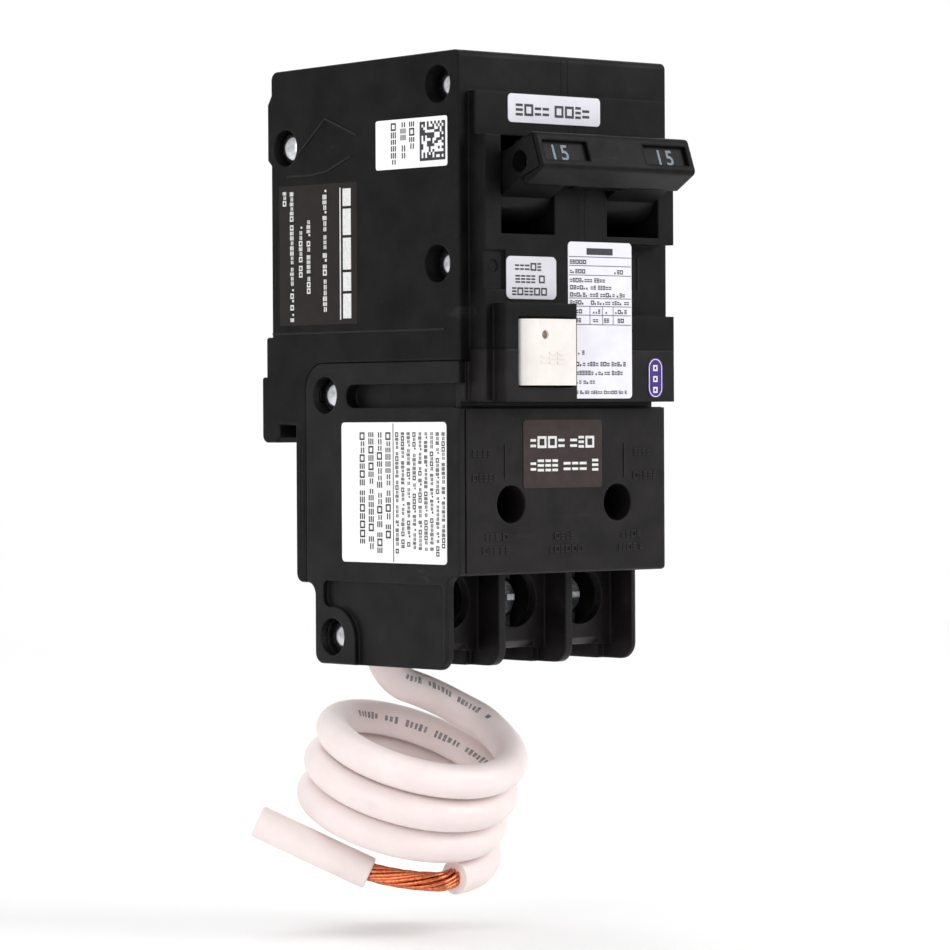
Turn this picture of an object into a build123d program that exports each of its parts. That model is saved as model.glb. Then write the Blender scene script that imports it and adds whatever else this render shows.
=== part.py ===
from build123d import *

import math
import os

# Two-pole ground-fault circuit breaker, 15 A, for a plug-on panel, with its coiled neutral pigtail.
# Frame: +X to the reader's right, -Y out of the front face, +Z up. Millimetres.
# Origin: the closed end of the rail hook under the foot, halfway across the width.

# ---- driving dimensions -------------------------------------------------------------------------
POLE_W = 25.4
HALF_W = POLE_W
POLE_X = POLE_W / 2
PLATE_T = 1.6
SIDE_WALL = 1.8
GAP = 0.3

# Planes that face the front, from the deepest to the one that stands furthest out.
BLOCK_Y = -48.5
SHOULDER_Y = -48.85
PANEL_Y = -50.7
FACE_Y = -53.2
HOUSING_Y = -56.5
BUTTON_Y = -58.0
CASE_WALL_Y = -46.65

# Planes that face the back.
SPINE_Y = -2.4
SEAM_Y = -5.4
BACK_Y = 4.4
BUMP_Y = 5.5
HEEL_Y = 6.15
FOOT_Y = 7.5

# Levels.
TOP_FRONT_Z = 66.4
TOP_BACK_Z = 65.6
PANEL_TOP_Z = 59.1
FACE_TOP_Z = 51.3
SLOT_BOTTOM_Z = 33.8
NOTCH_TOP_Z = 32.6
HOUSING_TOP_Z = 21.4
NOTCH_BOTTOM_Z = 19.5
PART_Z = 13.3
SEAM_Z = 11.3
FACE_BOTTOM_Z = 3.9
BLOCK_TOP_Z = 2.9
FOOT_Z = -3.3
BLOCK_BOTTOM_Z = -27.0
SPINE_BOTTOM_Z = -29.1
WALL_BOTTOM_Z = -43.9

SIDE_ROUND = 0.4
MODULE_SIDE_ROUND = 0.8

# Front panel.
FACE_HALF_W = 23.0
SLOT_X = (6.35, 19.2)
BUTTON_X = (-17.9, -5.4)
BUTTON_Z = (6.8, 18.6)
HOUSING_X = (-21.2, -4.2)
NOTCH_X = 12.4

# Terminals.
TERMINAL_PITCH = 16.4
DIVIDER_T = 1.6
WALL_FRONT_Y = -40.5
LEFT_WALL_FRONT_Y = -45.1
FLOOR_Y = -34.7
FLOOR_BACK_Y = -32.7
FLOOR_BOTTOM_Z = -41.2
SCREW_Z = -32.0
SCREW_FACE_Y = -30.9
SCREW_HEAD_R = 4.1
WIRE_Y = -23.9
WIRE_R = 3.0
CHAMBER_BACK_Y = -19.2
TERMINAL_BACK_Y = -7.8
COVER_T = 1.6

# Rivets: y and z of each axis, and how deep its head's counterbore is. The short one is beside the pigtail.
RIVETS = [(0.1, 51.3, 2.4), (-43.3, 60.5, 3.6), (-43.05, 28.6, 3.6), (-11.1, 5.4, 2.9)]
SHORT_RIVET = (-12.9, -38.9, 3.2)
RIVET_R = 1.6
RIVET_HOLE_R = 1.7
RIVET_HEAD_R = 3.0
RIVET_FLANGE_T = 0.6
RIVET_BORE_R = 3.4
RIVET_BOSS_R = 4.2
RIVET_BOSS_DEPTH = 3.4

# Handle: its pivot, and the tilt of the lever above level when the breaker is on.
PIVOT_Y = -46.5
PIVOT_Z = 42.5
LEVER_TILT = 20.0
HUB_R = 6.4
HANDLE_W = 12.2
TRUNNION_R = 1.55
BEARING_R = 1.6
TIE_HALF_L = 18.8

# Line jaws.
JAW_Z = 58.2
JAW_HALF_W = 6.5
CONTACT_Z = 53.5

# Mechanism: (y, z) of the pivots inside each pole, and their pins.
ARM_PIVOT = (-30.0, 22.0)
CRADLE_PIVOT = (-36.5, 33.0)
ARMATURE_PIVOT = (-14.4, 23.0)
PIN_R = 1.5
PIN_HOLE_R = 1.56
LINK_X = (16.7, 18.3)
LINK_Y = (-40.6, -38.6)
LINK_WAY_X = (15.6, 19.4)
LINK_WAY_Y = (-41.4, -37.8)

# Test button.
BUTTON_MID_X = sum(BUTTON_X) / 2
STEM_HALF_W = 3.0
LED_X = -13.1
LED_Z = 15.8
LED_R = 0.8

# Electronics.
TOROID = (0.0, -30.0)
TOROID_Z = (-9.0, 1.0)
STRAP_T = 1.4
BOARD_Y = (-11.6, -10.0)
SOLENOID = (17.5, -39.6)
STICKER_T = 0.12

# Pigtail: 8 AWG stranded wire with its insulation.
CORD_D = 6.3
CONDUCTOR_D = 3.7
COIL_R = 16.8
COIL_PITCH = 6.6
COIL_TURNS = 3.0
COIL_LEAN = 23.7
COIL_SIDE = 2.3
COIL_CENTRE = (-9.9, -20.5, -56.8)
EXIT_X = -14.0
EXIT_Y = -14.0
LEAD_ROUTE = [
    (EXIT_X, EXIT_Y, -38.6),
    (EXIT_X, EXIT_Y, -44.2),
    (-10.2, -13.9, -48.0),
    (-4.6, -13.5, -49.6),
    (0.6, -13.4, -51.6),
    (4.6, -15.0, -53.9),
    (6.7, -18.4, -55.8),
]


def slab(x, y, z, mode=Mode.ADD):
    """Box between two x, two y and two z, in the part being built."""
    low = (min(x), min(y), min(z))
    high = (max(x), max(y), max(z))
    middle = tuple((a + b) / 2 for a, b in zip(low, high))
    with Locations(middle):
        Box(high[0] - low[0], high[1] - low[1], high[2] - low[2], mode=mode)


def rod_x(x, y, z, radius, mode=Mode.ADD):
    """Cylinder along X between two x."""
    with Locations(Plane.YZ.offset((x[0] + x[1]) / 2)):
        with Locations((y, z)):
            Cylinder(radius, abs(x[1] - x[0]), mode=mode)


def rod_y(x, y, z, radius, mode=Mode.ADD):
    """Cylinder along Y between two y."""
    with Locations(Plane.XZ.offset(-(y[0] + y[1]) / 2)):
        with Locations((x, z)):
            Cylinder(radius, abs(y[1] - y[0]), mode=mode)


def rod_z(x, y, z, radius, mode=Mode.ADD):
    """Cylinder along Z between two z."""
    with Locations((x, y, (z[0] + z[1]) / 2)):
        Cylinder(radius, abs(z[1] - z[0]), mode=mode)


def side_face(points, rounds=()):
    """Face in a Y-Z sketch: its corners, and (corner, radius) for those that are rounded."""
    with BuildLine() as outline:
        Polyline(*points, close=True)
    face = make_face(outline.edges())
    for corner, radius in rounds:
        near = face.vertices().sort_by_distance((corner[0], corner[1], 0))[0]
        face = fillet(near, radius)


def write(piece, name):
    """Name a finished piece and write its file."""
    piece.part.label = name
    export_step(piece.part, f"parts/{name}.step")


# ---- enclosure ----------------------------------------------------------------------------------
CASE_OUTLINE = [
    (SHOULDER_Y, SEAM_Z),
    (SHOULDER_Y, TOP_FRONT_Z),
    (BACK_Y, TOP_BACK_Z),
    (BACK_Y, 61.3),
    (BUMP_Y, 59.6),
    (BUMP_Y, 49.2),
    (BACK_Y, 48.2),
    (BACK_Y, 16.3),
    (HEEL_Y, 16.3),
    (HEEL_Y, 8.9),
    (FOOT_Y, 8.9),
    (FOOT_Y, FOOT_Z),
    (3.3, FOOT_Z),
    (2.3, -2.3),
    (2.3, 0),
    (SPINE_Y, 0),
    (SPINE_Y, SPINE_BOTTOM_Z),
    (SEAM_Y, SPINE_BOTTOM_Z),
    (SEAM_Y, SEAM_Z),
]
CASE_ROUNDS = [
    ((SEAM_Y, SEAM_Z), 5.0),
    ((SHOULDER_Y, TOP_FRONT_Z), 1.2),
    ((BACK_Y, TOP_BACK_Z), 1.6),
    ((HEEL_Y, 16.3), 0.5),
    ((FOOT_Y, 8.9), 0.5),
    ((FOOT_Y, FOOT_Z), 1.4),
    ((SPINE_Y, SPINE_BOTTOM_Z), 1.7),
]
CAVITY_OUTLINE = [
    (CASE_WALL_Y, PART_Z + 0.1),
    (CASE_WALL_Y, 64.2),
    (1.4, 63.4),
    (2.2, 62.4),
    (2.2, PART_Z + 0.1),
]


def rivet_seat(y, z, deep, side):
    """Boss, hole and counterbore for a rivet in one pole's case."""
    wall = HALF_W - SIDE_WALL
    rod_x((side * wall, side * (wall - RIVET_BOSS_DEPTH)), y, z, RIVET_BOSS_R)
    rod_x((side * (HALF_W + 1), side * PLATE_T / 2), y, z, RIVET_HOLE_R, Mode.SUBTRACT)
    rod_x((side * (HALF_W + 1), side * (HALF_W - deep)), y, z, RIVET_BORE_R, Mode.SUBTRACT)


def soften_side(body, side, radius, top_z=TOP_FRONT_Z + 1):
    """Round the outer edge of a moulding's left or right wall, below top_z."""
    wall = body.faces().filter_by(Axis.X).sort_by(Axis.X)[0 if side < 0 else -1]
    fillet([edge for edge in wall.outer_wire().edges() if edge.center().Z < top_z], radius)


def pole_case(side):
    """Half of the breaker's case: one pole's shell, open towards the centre plate."""
    inner = side * PLATE_T / 2
    wall = side * (HALF_W - SIDE_WALL)
    with BuildPart() as case:
        with BuildSketch(Plane.YZ.offset(inner)):
            side_face(CASE_OUTLINE, CASE_ROUNDS)
        extrude(amount=side * (HALF_W - PLATE_T / 2))
        with BuildSketch(Plane.YZ.offset(inner)):
            side_face(CAVITY_OUTLINE)
        extrude(amount=wall - inner, mode=Mode.SUBTRACT)
        # raised front panel, the step above it, and the slot for the handle
        slab((inner, side * FACE_HALF_W), (FACE_Y, SHOULDER_Y), (PART_Z, FACE_TOP_Z))
        slab((inner, side * FACE_HALF_W), (PANEL_Y, SHOULDER_Y), (FACE_TOP_Z, PANEL_TOP_Z))
        if side > 0:
            slab((NOTCH_X, HALF_W), (FACE_Y - 1, SHOULDER_Y), (NOTCH_BOTTOM_Z, NOTCH_TOP_Z), Mode.SUBTRACT)
        else:
            slab((-18.2, -HALF_W), (FACE_Y, FACE_Y + 0.6), (23.9, 30.8), Mode.SUBTRACT)
            rod_y(-20.6, (FACE_Y + 0.6, FACE_Y + 0.9), 28.0, 1.1, Mode.SUBTRACT)
            slab(HOUSING_X, (HOUSING_Y, FACE_Y), (PART_Z, HOUSING_TOP_Z))
        slot_x = (side * SLOT_X[0], side * SLOT_X[1])
        slab(slot_x, (FACE_Y - 1, CASE_WALL_Y), (SLOT_BOTTOM_Z, FACE_TOP_Z), Mode.SUBTRACT)
        # bearings of the handle
        for x in ((2.4, SLOT_X[0]), (SLOT_X[1], HALF_W - SIDE_WALL)):
            ends = (side * x[0], side * x[1])
            slab(ends, (CASE_WALL_Y, PIVOT_Y + 3.4), (PIVOT_Z - 3.4, PIVOT_Z + 3.4))
        rod_x((side * 3.6, side * 22.0), PIVOT_Y, PIVOT_Z, BEARING_R, Mode.SUBTRACT)
        # window for the line jaw, in the back
        jaw_x = (side * (POLE_X - JAW_HALF_W - 0.7), side * (POLE_X + JAW_HALF_W + 0.7))
        slab(jaw_x, (1.0, BUMP_Y + 1), (JAW_Z - 2.9, JAW_Z + 2.9), Mode.SUBTRACT)
        # pivots of the contact arm and of the cradle
        rod_x((wall, side * (POLE_X - 1.5)), ARM_PIVOT[0], ARM_PIVOT[1], PIN_R)
        rod_x((wall, side * (POLE_X + 3.4)), CRADLE_PIVOT[0], CRADLE_PIVOT[1], PIN_R)
        # way down for the load strap, and up for the trip link
        strap_x = (side * (POLE_X - 3.3), side * (POLE_X + 3.3))
        slab(strap_x, (-14.4, -9.4), (SEAM_Z - 1, PART_Z + 1), Mode.SUBTRACT)
        if side > 0:
            slab(LINK_WAY_X, LINK_WAY_Y, (SEAM_Z - 1, PART_Z + 1), Mode.SUBTRACT)
        for y, z, deep in RIVETS[:3]:
            rivet_seat(y, z, deep, side)
        if side < 0:
            button_pocket()
        soften_side(case, side, SIDE_ROUND)
    return case


def button_pocket():
    """Room for the test button in its housing."""
    x = (BUTTON_X[0] - GAP, BUTTON_X[1] + GAP)
    z = (BUTTON_Z[0] - GAP, BUTTON_Z[1] + GAP)
    slab(x, (HOUSING_Y - 1, FACE_Y + 1.6), z, Mode.SUBTRACT)


def centre_plate():
    """Plate between the two poles, which closes both cases."""
    with BuildPart() as plate:
        with BuildSketch(Plane.YZ.offset(-PLATE_T / 2)):
            side_face(CASE_OUTLINE, CASE_ROUNDS)
        extrude(amount=PLATE_T)
        half = PLATE_T / 2
        slab((-half, half), (FACE_Y, SHOULDER_Y), (PART_Z, FACE_TOP_Z))
        slab((-half, half), (PANEL_Y, SHOULDER_Y), (FACE_TOP_Z, PANEL_TOP_Z))
        for y, z, _ in RIVETS[:3]:
            rod_x((-half, half), y, z, RIVET_HOLE_R, Mode.SUBTRACT)
        slab((-half, half), (-22.6, -17.6), (23.0, 34.5), Mode.SUBTRACT)
    return plate


BODY_OUTLINE = [
    (BLOCK_Y, BLOCK_BOTTOM_Z),
    (BLOCK_Y, SEAM_Z),
    (SEAM_Y, SEAM_Z),
    (SEAM_Y, SPINE_BOTTOM_Z),
    (TERMINAL_BACK_Y, SPINE_BOTTOM_Z),
    (TERMINAL_BACK_Y, WALL_BOTTOM_Z),
    (WALL_FRONT_Y, WALL_BOTTOM_Z),
    (WALL_FRONT_Y, BLOCK_BOTTOM_Z),
]
BODY_ROUNDS = [
    ((SEAM_Y, SEAM_Z), 5.0),
    ((TERMINAL_BACK_Y, SPINE_BOTTOM_Z), 2.3),
    ((TERMINAL_BACK_Y, WALL_BOTTOM_Z), 2.0),
    ((WALL_FRONT_Y, WALL_BOTTOM_Z), 3.2),
    ((WALL_FRONT_Y, BLOCK_BOTTOM_Z), 2.4),
    ((BLOCK_Y, BLOCK_BOTTOM_Z), 0.7),
]
MODULE_OUTLINE = [
    (BLOCK_Y, BLOCK_BOTTOM_Z),
    (BLOCK_Y, SEAM_Z),
    (SEAM_Y, SEAM_Z),
    (SEAM_Y, BLOCK_BOTTOM_Z),
]
MODULE_ROUNDS = [((SEAM_Y, SEAM_Z), 5.0), ((BLOCK_Y, BLOCK_BOTTOM_Z), 0.7)]
TERMINAL_OUTLINE = [
    (WALL_FRONT_Y, BLOCK_BOTTOM_Z),
    (SEAM_Y, BLOCK_BOTTOM_Z),
    (SEAM_Y, SPINE_BOTTOM_Z),
    (TERMINAL_BACK_Y, SPINE_BOTTOM_Z),
    (TERMINAL_BACK_Y, WALL_BOTTOM_Z),
    (WALL_FRONT_Y, WALL_BOTTOM_Z),
]
TERMINAL_ROUNDS = [
    ((TERMINAL_BACK_Y, SPINE_BOTTOM_Z), 2.3),
    ((TERMINAL_BACK_Y, WALL_BOTTOM_Z), 2.0),
    ((WALL_FRONT_Y, WALL_BOTTOM_Z), 3.2),
]
ROOM_Y = (-46.0, -7.6)
ROOM_Z = (-24.6, 9.3)
TERMINAL_X = [-TERMINAL_PITCH, 0.0, TERMINAL_PITCH]
ACCESS_X = 13.0
ACCESS_Z = -14.4
ACCESS_R = 3.4
CHANNEL_Y = -17.1
CHANNEL_Z = (3.0, 7.3)
CHANNEL_DEPTH = 2.5


def terminal_room(x):
    """Pocket, well and lug chamber of one terminal."""
    half = (TERMINAL_PITCH - DIVIDER_T) / 2
    left = -HALF_W + COVER_T if x < 0 else x - half
    right = HALF_W - 1.4 if x > 0 else x + half
    low = WALL_BOTTOM_Z - 1
    slab((left, right), (BLOCK_Y - 1, FLOOR_Y), (low, BLOCK_BOTTOM_Z), Mode.SUBTRACT)
    slab((left, right), (FLOOR_Y, FLOOR_BACK_Y), (low, FLOOR_BOTTOM_Z), Mode.SUBTRACT)
    rod_y(x, (FLOOR_Y - 1, FLOOR_BACK_Y), SCREW_Z, 5.3, Mode.SUBTRACT)
    # the wire slides up the sloping lip under the well
    with BuildSketch(Plane.YZ.offset(x - 4.6)) as lip:
        lip_top = (FLOOR_Y, FLOOR_BOTTOM_Z + 1.4)
        side_face([(FLOOR_Y, FLOOR_BOTTOM_Z), lip_top, (FLOOR_BACK_Y, FLOOR_BOTTOM_Z)])
    extrude(lip.sketch, amount=9.2, mode=Mode.SUBTRACT)
    slab((x - 5.9, x + 5.9), (FLOOR_BACK_Y, CHAMBER_BACK_Y), (low, BLOCK_BOTTOM_Z + 1), Mode.SUBTRACT)


def terminal_block():
    """Moulding under the module, with a pocket and a lug chamber for each of three terminals."""
    left = -HALF_W + COVER_T
    with BuildPart() as block:
        with BuildSketch(Plane.YZ.offset(left)):
            side_face(TERMINAL_OUTLINE, TERMINAL_ROUNDS)
        extrude(amount=HALF_W - left)
        soften_side(block, 1, MODULE_SIDE_ROUND, BLOCK_BOTTOM_Z - 3)
        for x in TERMINAL_X:
            terminal_room(x)
        # guide and bushing seat of the pigtail
        rod_z(EXIT_X, EXIT_Y, (WALL_BOTTOM_Z - 1, BLOCK_BOTTOM_Z + 1), CORD_D / 2 + 0.2, Mode.SUBTRACT)
        rod_z(EXIT_X, EXIT_Y, (WALL_BOTTOM_Z - 1, WALL_BOTTOM_Z + 3.2), 4.5, Mode.SUBTRACT)
        y, z, deep = SHORT_RIVET
        rod_x((left - 1, -18.1), y, z, RIVET_HOLE_R, Mode.SUBTRACT)
        rod_x((left - 1, -HALF_W + deep), y, z, RIVET_BORE_R, Mode.SUBTRACT)
    return block


def module_base():
    """Ground-fault module: one moulding, open on the left."""
    left = -HALF_W + COVER_T
    with BuildPart() as base:
        with BuildSketch(Plane.YZ.offset(left)):
            side_face(MODULE_OUTLINE, MODULE_ROUNDS)
        extrude(amount=HALF_W - left)
        soften_side(base, 1, MODULE_SIDE_ROUND)
        # foot of the raised front panel, and the lower half of the test button's housing
        slab((left + 0.8, FACE_HALF_W), (FACE_Y, BLOCK_Y), (FACE_BOTTOM_Z, SEAM_Z))
        slab((left + 0.8, FACE_HALF_W), (FACE_Y, SHOULDER_Y - 0.05), (FACE_BOTTOM_Z, PART_Z))
        slab(HOUSING_X, (HOUSING_Y, FACE_Y), (FACE_BOTTOM_Z, PART_Z))
        slab((left, HALF_W), (BLOCK_Y, BLOCK_Y + 1.2), (BLOCK_TOP_Z, FACE_BOTTOM_Z), Mode.SUBTRACT)
        # room for the electronics
        slab((left, HALF_W - 2.0), ROOM_Y, ROOM_Z, Mode.SUBTRACT)
        # passages for the conductors
        for x in (-POLE_X, POLE_X):
            slab((x - 3.3, x + 3.3), (-14.4, -9.4), (ROOM_Z[1], SEAM_Z + 1), Mode.SUBTRACT)
        for x in TERMINAL_X:
            slab((x - 3.3, x + 3.3), (-26.4, -21.4), (-27.5, ROOM_Z[0]), Mode.SUBTRACT)
        rod_z(EXIT_X, EXIT_Y, (BLOCK_BOTTOM_Z - 1, ROOM_Z[0]), CORD_D / 2 + 0.2, Mode.SUBTRACT)
        # access holes in the front, each blind in its own tube
        for x in (-ACCESS_X, ACCESS_X):
            rod_y(x, (ROOM_Y[0], BLOCK_Y + 10.5), ACCESS_Z, ACCESS_R + 1.4)
            rod_y(x, (BLOCK_Y - 1, BLOCK_Y + 9.0), ACCESS_Z, ACCESS_R, Mode.SUBTRACT)
        # side channel on the right, with a pad behind it
        floor = HALF_W - CHANNEL_DEPTH
        slab((floor - 1.5, HALF_W - 1), (ROOM_Y[0], CHANNEL_Y + 4), (CHANNEL_Z[0] - 1.5, CHANNEL_Z[1] + 1.5))
        channel(floor, HALF_W + 1)
        y, z, deep = RIVETS[3]
        rod_x((HALF_W - 2.0, HALF_W - 2.0 - RIVET_BOSS_DEPTH), y, z, RIVET_BOSS_R)
        rod_x((left, HALF_W + 1), y, z, RIVET_HOLE_R, Mode.SUBTRACT)
        rod_x((HALF_W + 1, HALF_W - deep), y, z, RIVET_BORE_R, Mode.SUBTRACT)
        # way up for the trip link, and way in for the test button's stem
        slab(LINK_WAY_X, LINK_WAY_Y, (ROOM_Z[1] - 1, SEAM_Z + 1), Mode.SUBTRACT)
        button_pocket()
        stem = (BUTTON_MID_X - STEM_HALF_W - GAP, BUTTON_MID_X + STEM_HALF_W + GAP)
        slab(stem, (FACE_Y, ROOM_Y[0] + 1), (BUTTON_Z[0] - 0.1, ROOM_Z[1] - 0.1), Mode.SUBTRACT)
    return base


def channel(low_x, high_x):
    """Round-ended groove in the side, open to the front."""
    radius = (CHANNEL_Z[1] - CHANNEL_Z[0]) / 2
    middle = sum(CHANNEL_Z) / 2
    slab((low_x, high_x), (BLOCK_Y - 0.1, CHANNEL_Y - radius), CHANNEL_Z, Mode.SUBTRACT)
    rod_x((low_x, high_x), CHANNEL_Y - radius, middle, radius, Mode.SUBTRACT)


def side_cover():
    """Lid on the module's left side, with the sunk panel round the terminals."""
    outline = [point if point[0] != WALL_FRONT_Y else (LEFT_WALL_FRONT_Y, point[1]) for point in BODY_OUTLINE]
    rounds = [((c[0] if c[0] != WALL_FRONT_Y else LEFT_WALL_FRONT_Y, c[1]), r) for c, r in BODY_ROUNDS]
    inner = -HALF_W + COVER_T
    with BuildPart() as cover:
        with BuildSketch(Plane.YZ.offset(-HALF_W)):
            side_face(outline, rounds)
        extrude(amount=COVER_T)
        soften_side(cover, -1, SIDE_ROUND)
        # front panel's edge and the pads behind the channel and the rivet
        slab((inner, inner + 1.9), (-45.7, CHANNEL_Y + 4), (CHANNEL_Z[0] - 1.5, CHANNEL_Z[1] + 1.5))
        slab((inner, inner + 1.9), (-16.0, -7.9), (1.5, 9.0))
        channel(-HALF_W - 1, -HALF_W + CHANNEL_DEPTH)
        slab((-HALF_W, inner), (BLOCK_Y - 1, BLOCK_Y + 1.2), (BLOCK_TOP_Z, FACE_BOTTOM_Z), Mode.SUBTRACT)
        # the sunk panel stops short of the rivet's raised boss
        with BuildSketch(Plane.YZ.offset(-HALF_W)):
            side_face(SUNK_PANEL, SUNK_ROUNDS)
        extrude(amount=SUNK_DEPTH, mode=Mode.SUBTRACT)
        y, z, deep = RIVETS[3]
        rod_x((-HALF_W - 1, inner + 3), y, z, RIVET_HOLE_R, Mode.SUBTRACT)
        rod_x((-HALF_W - 1, -HALF_W + deep), y, z, RIVET_BORE_R, Mode.SUBTRACT)
        y, z, _ = SHORT_RIVET
        rod_x((-HALF_W - 1, inner + 3), y, z, RIVET_BORE_R, Mode.SUBTRACT)
    return cover


SUNK_DEPTH = 1.1
SUNK_PANEL = [
    (-44.0, -28.6),
    (-10.3, -28.6),
    (-10.3, -33.4),
    (-19.3, -33.4),
    (-19.3, WALL_BOTTOM_Z - 1),
    (-44.0, WALL_BOTTOM_Z - 1),
]
SUNK_ROUNDS = [((-44.0, -28.6), 0.6), ((-10.3, -28.6), 1.2), ((-10.3, -33.4), 1.6), ((-19.3, -33.4), 6.2)]


def domed_rivet(x, y, z, right_head):
    """Rivet along X: a shank, and a domed head on one end or both."""
    rod_x(x, y, z, RIVET_R)
    ends = [(x[0], -1)] + ([(x[1], 1)] if right_head else [])
    for end, way in ends:
        rod_x((end, end - way * RIVET_FLANGE_T), y, z, RIVET_HEAD_R)
        with BuildSketch(Plane((end, y, z), x_dir=(1, 0, 0), z_dir=(0, 0, 1))) as dome:
            with BuildLine():
                Line((0, 0), (0, RIVET_HEAD_R))
                ThreePointArc((0, RIVET_HEAD_R), (way * 0.75, RIVET_HEAD_R * 0.62), (way * 1.1, 0))
                Line((way * 1.1, 0), (0, 0))
            make_face()
        revolve(dome.sketch, axis=Axis((end, y, z), (1, 0, 0)))


def case_rivets():
    """Through rivets that hold the layers together, and the short one beside the pigtail."""
    with BuildPart() as rivets:
        for y, z, deep in RIVETS:
            seat = HALF_W - deep + RIVET_FLANGE_T
            domed_rivet((-seat, seat), y, z, True)
        y, z, deep = SHORT_RIVET
        domed_rivet((-HALF_W + deep - RIVET_FLANGE_T, -18.4), y, z, False)
    return rivets


# ---- handle -------------------------------------------------------------------------------------
def lever(along, up):
    """Point in the Y-Z plane, from distances along the handle's lever and square to it."""
    tilt = math.radians(LEVER_TILT)
    y = PIVOT_Y - along * math.cos(tilt) + up * math.sin(tilt)
    z = PIVOT_Z + along * math.sin(tilt) + up * math.cos(tilt)
    return (y, z)


TIE_PIN_AT = lever(11.9, -0.3)
TIE_FRONT = 17.2
HEAD_FRONT = 16.4
NECK = [lever(0, 3.2), lever(HEAD_FRONT, 2.9), lever(HEAD_FRONT, -3.0), lever(11, -3.05), lever(0, -5)]
SLEEVE = [lever(9.6, 3.3), lever(11.6, 3.6), lever(TIE_FRONT, 3.5), lever(TIE_FRONT, -3.45),
          lever(11.6, -4.6), lever(9.6, -4.2)]
SLEEVE_ROUNDS = [(lever(TIE_FRONT, 3.5), 1.0), (lever(TIE_FRONT, -3.45), 1.0)]
TIE_END_ROUND = 0.5
SLEEVE_ENDS = [lever(9.0, 4.5), lever(11.6, 4.5), lever(11.6, -5.5), lever(9.0, -5.5)]
SOCKET = [lever(9.0, 3.0), lever(HEAD_FRONT + 0.1, 3.0), lever(HEAD_FRONT + 0.1, -3.1), lever(9.0, -3.1)]
WINDOW = [lever(HEAD_FRONT, 1.7), lever(TIE_FRONT + 1, 1.7),
          lever(TIE_FRONT + 1, -2.05), lever(HEAD_FRONT, -2.05)]
WINDOW_X = (6.8, 17.5)


def pole_handle(side):
    """One pole's handle: a hub on two trunnions, and the lever that the tie bar caps."""
    low = side * (POLE_X + 0.05 - HANDLE_W / 2)
    with BuildPart() as handle:
        with BuildSketch(Plane.YZ.offset(low)):
            side_face(NECK)
            with Locations((PIVOT_Y, PIVOT_Z)):
                Circle(HUB_R)
            with Locations(TIE_PIN_AT):
                Circle(1.95, mode=Mode.SUBTRACT)
        extrude(amount=side * HANDLE_W)
        rod_x((side * 4.0, side * 21.6), PIVOT_Y, PIVOT_Z, TRUNNION_R)
    return handle


def handle_tie_bar():
    """Bar that caps both handles, with a window over each rating."""
    with BuildPart() as bar:
        with BuildSketch(Plane.YZ.offset(-TIE_HALF_L)):
            side_face(SLEEVE, SLEEVE_ROUNDS)
        extrude(amount=2 * TIE_HALF_L)
        ends = bar.edges().filter_by(Axis.X, reverse=True).group_by(Axis.X)
        fillet(ends[0] + ends[-1], TIE_END_ROUND)
        for side in (-1, 1):
            with BuildSketch(Plane.YZ.offset(side * 6.4)):
                side_face(SOCKET)
            extrude(amount=side * TIE_HALF_L, mode=Mode.SUBTRACT)
            with BuildSketch(Plane.YZ.offset(side * 6.4)):
                side_face(SLEEVE_ENDS)
            extrude(amount=side * TIE_HALF_L, mode=Mode.SUBTRACT)
            with BuildSketch(Plane.YZ.offset(side * WINDOW_X[0])):
                side_face(WINDOW)
            extrude(amount=side * (WINDOW_X[1] - WINDOW_X[0]), mode=Mode.SUBTRACT)
        rod_x((-TIE_HALF_L, TIE_HALF_L), TIE_PIN_AT[0], TIE_PIN_AT[1], 1.95, Mode.SUBTRACT)
    return bar


def handle_tie_pin():
    """Steel pin through both handles."""
    with BuildPart() as pin:
        rod_x((-15.8, 15.8), TIE_PIN_AT[0], TIE_PIN_AT[1], 1.9)
        chamfer(pin.edges().filter_by(GeomType.CIRCLE), 0.3)
    return pin


# ---- current path and trip mechanism of one pole ------------------------------------------------
def line_jaw(side):
    """Copper jaw that grips the panel's stab, with the fixed contact on its strap."""
    x = side * POLE_X
    finger = [(-6.5, 2.7), (-6.5, 1.8), (-0.5, 0.6), (3.4, 2.0), (3.4, 2.8), (-0.5, 1.5)]
    with BuildPart() as jaw:
        slab((x - JAW_HALF_W, x + JAW_HALF_W), (-7.4, -6.5), (JAW_Z - 2.7, JAW_Z + 2.7))
        for way in (-1, 1):
            with BuildSketch(Plane.YZ.offset(x - JAW_HALF_W)):
                side_face([(y, JAW_Z + way * rise) for y, rise in finger])
            extrude(amount=2 * JAW_HALF_W)
        slab((x - 3.5, x + 3.5), (-9.0, -7.4), (50.8, 60.0))
        rod_y(x, (-10.8, -9.0), CONTACT_Z, 2.6)
    return jaw


def jaw_springs():
    """Steel leaves that press the jaws' fingers together."""
    with BuildPart() as springs:
        for x in (-POLE_X, POLE_X):
            for way in (-1, 1):
                slab((x - 4, x + 4), (-6.0, 0.8), (JAW_Z + way * 3.0, JAW_Z + way * 3.6))
    return springs


def contact_arm(side):
    """Moving contact: a copper arm on its pivot, with a silver button at the tip."""
    outline = [(-32.6, 23.2), (-31.0, 19.4), (-27.5, 20.0), (-12.9, 49.5),
               (-12.7, 56.3), (-15.9, 56.3), (-17.6, 51.6)]
    x = side * POLE_X
    with BuildPart() as arm:
        with BuildSketch(Plane.YZ.offset(x - 1)):
            side_face(outline)
            with Locations(ARM_PIVOT):
                Circle(PIN_HOLE_R, mode=Mode.SUBTRACT)
        extrude(amount=2)
        rod_y(x, (-12.75, -11.15), CONTACT_Z, 2.4)
    return arm


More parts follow.
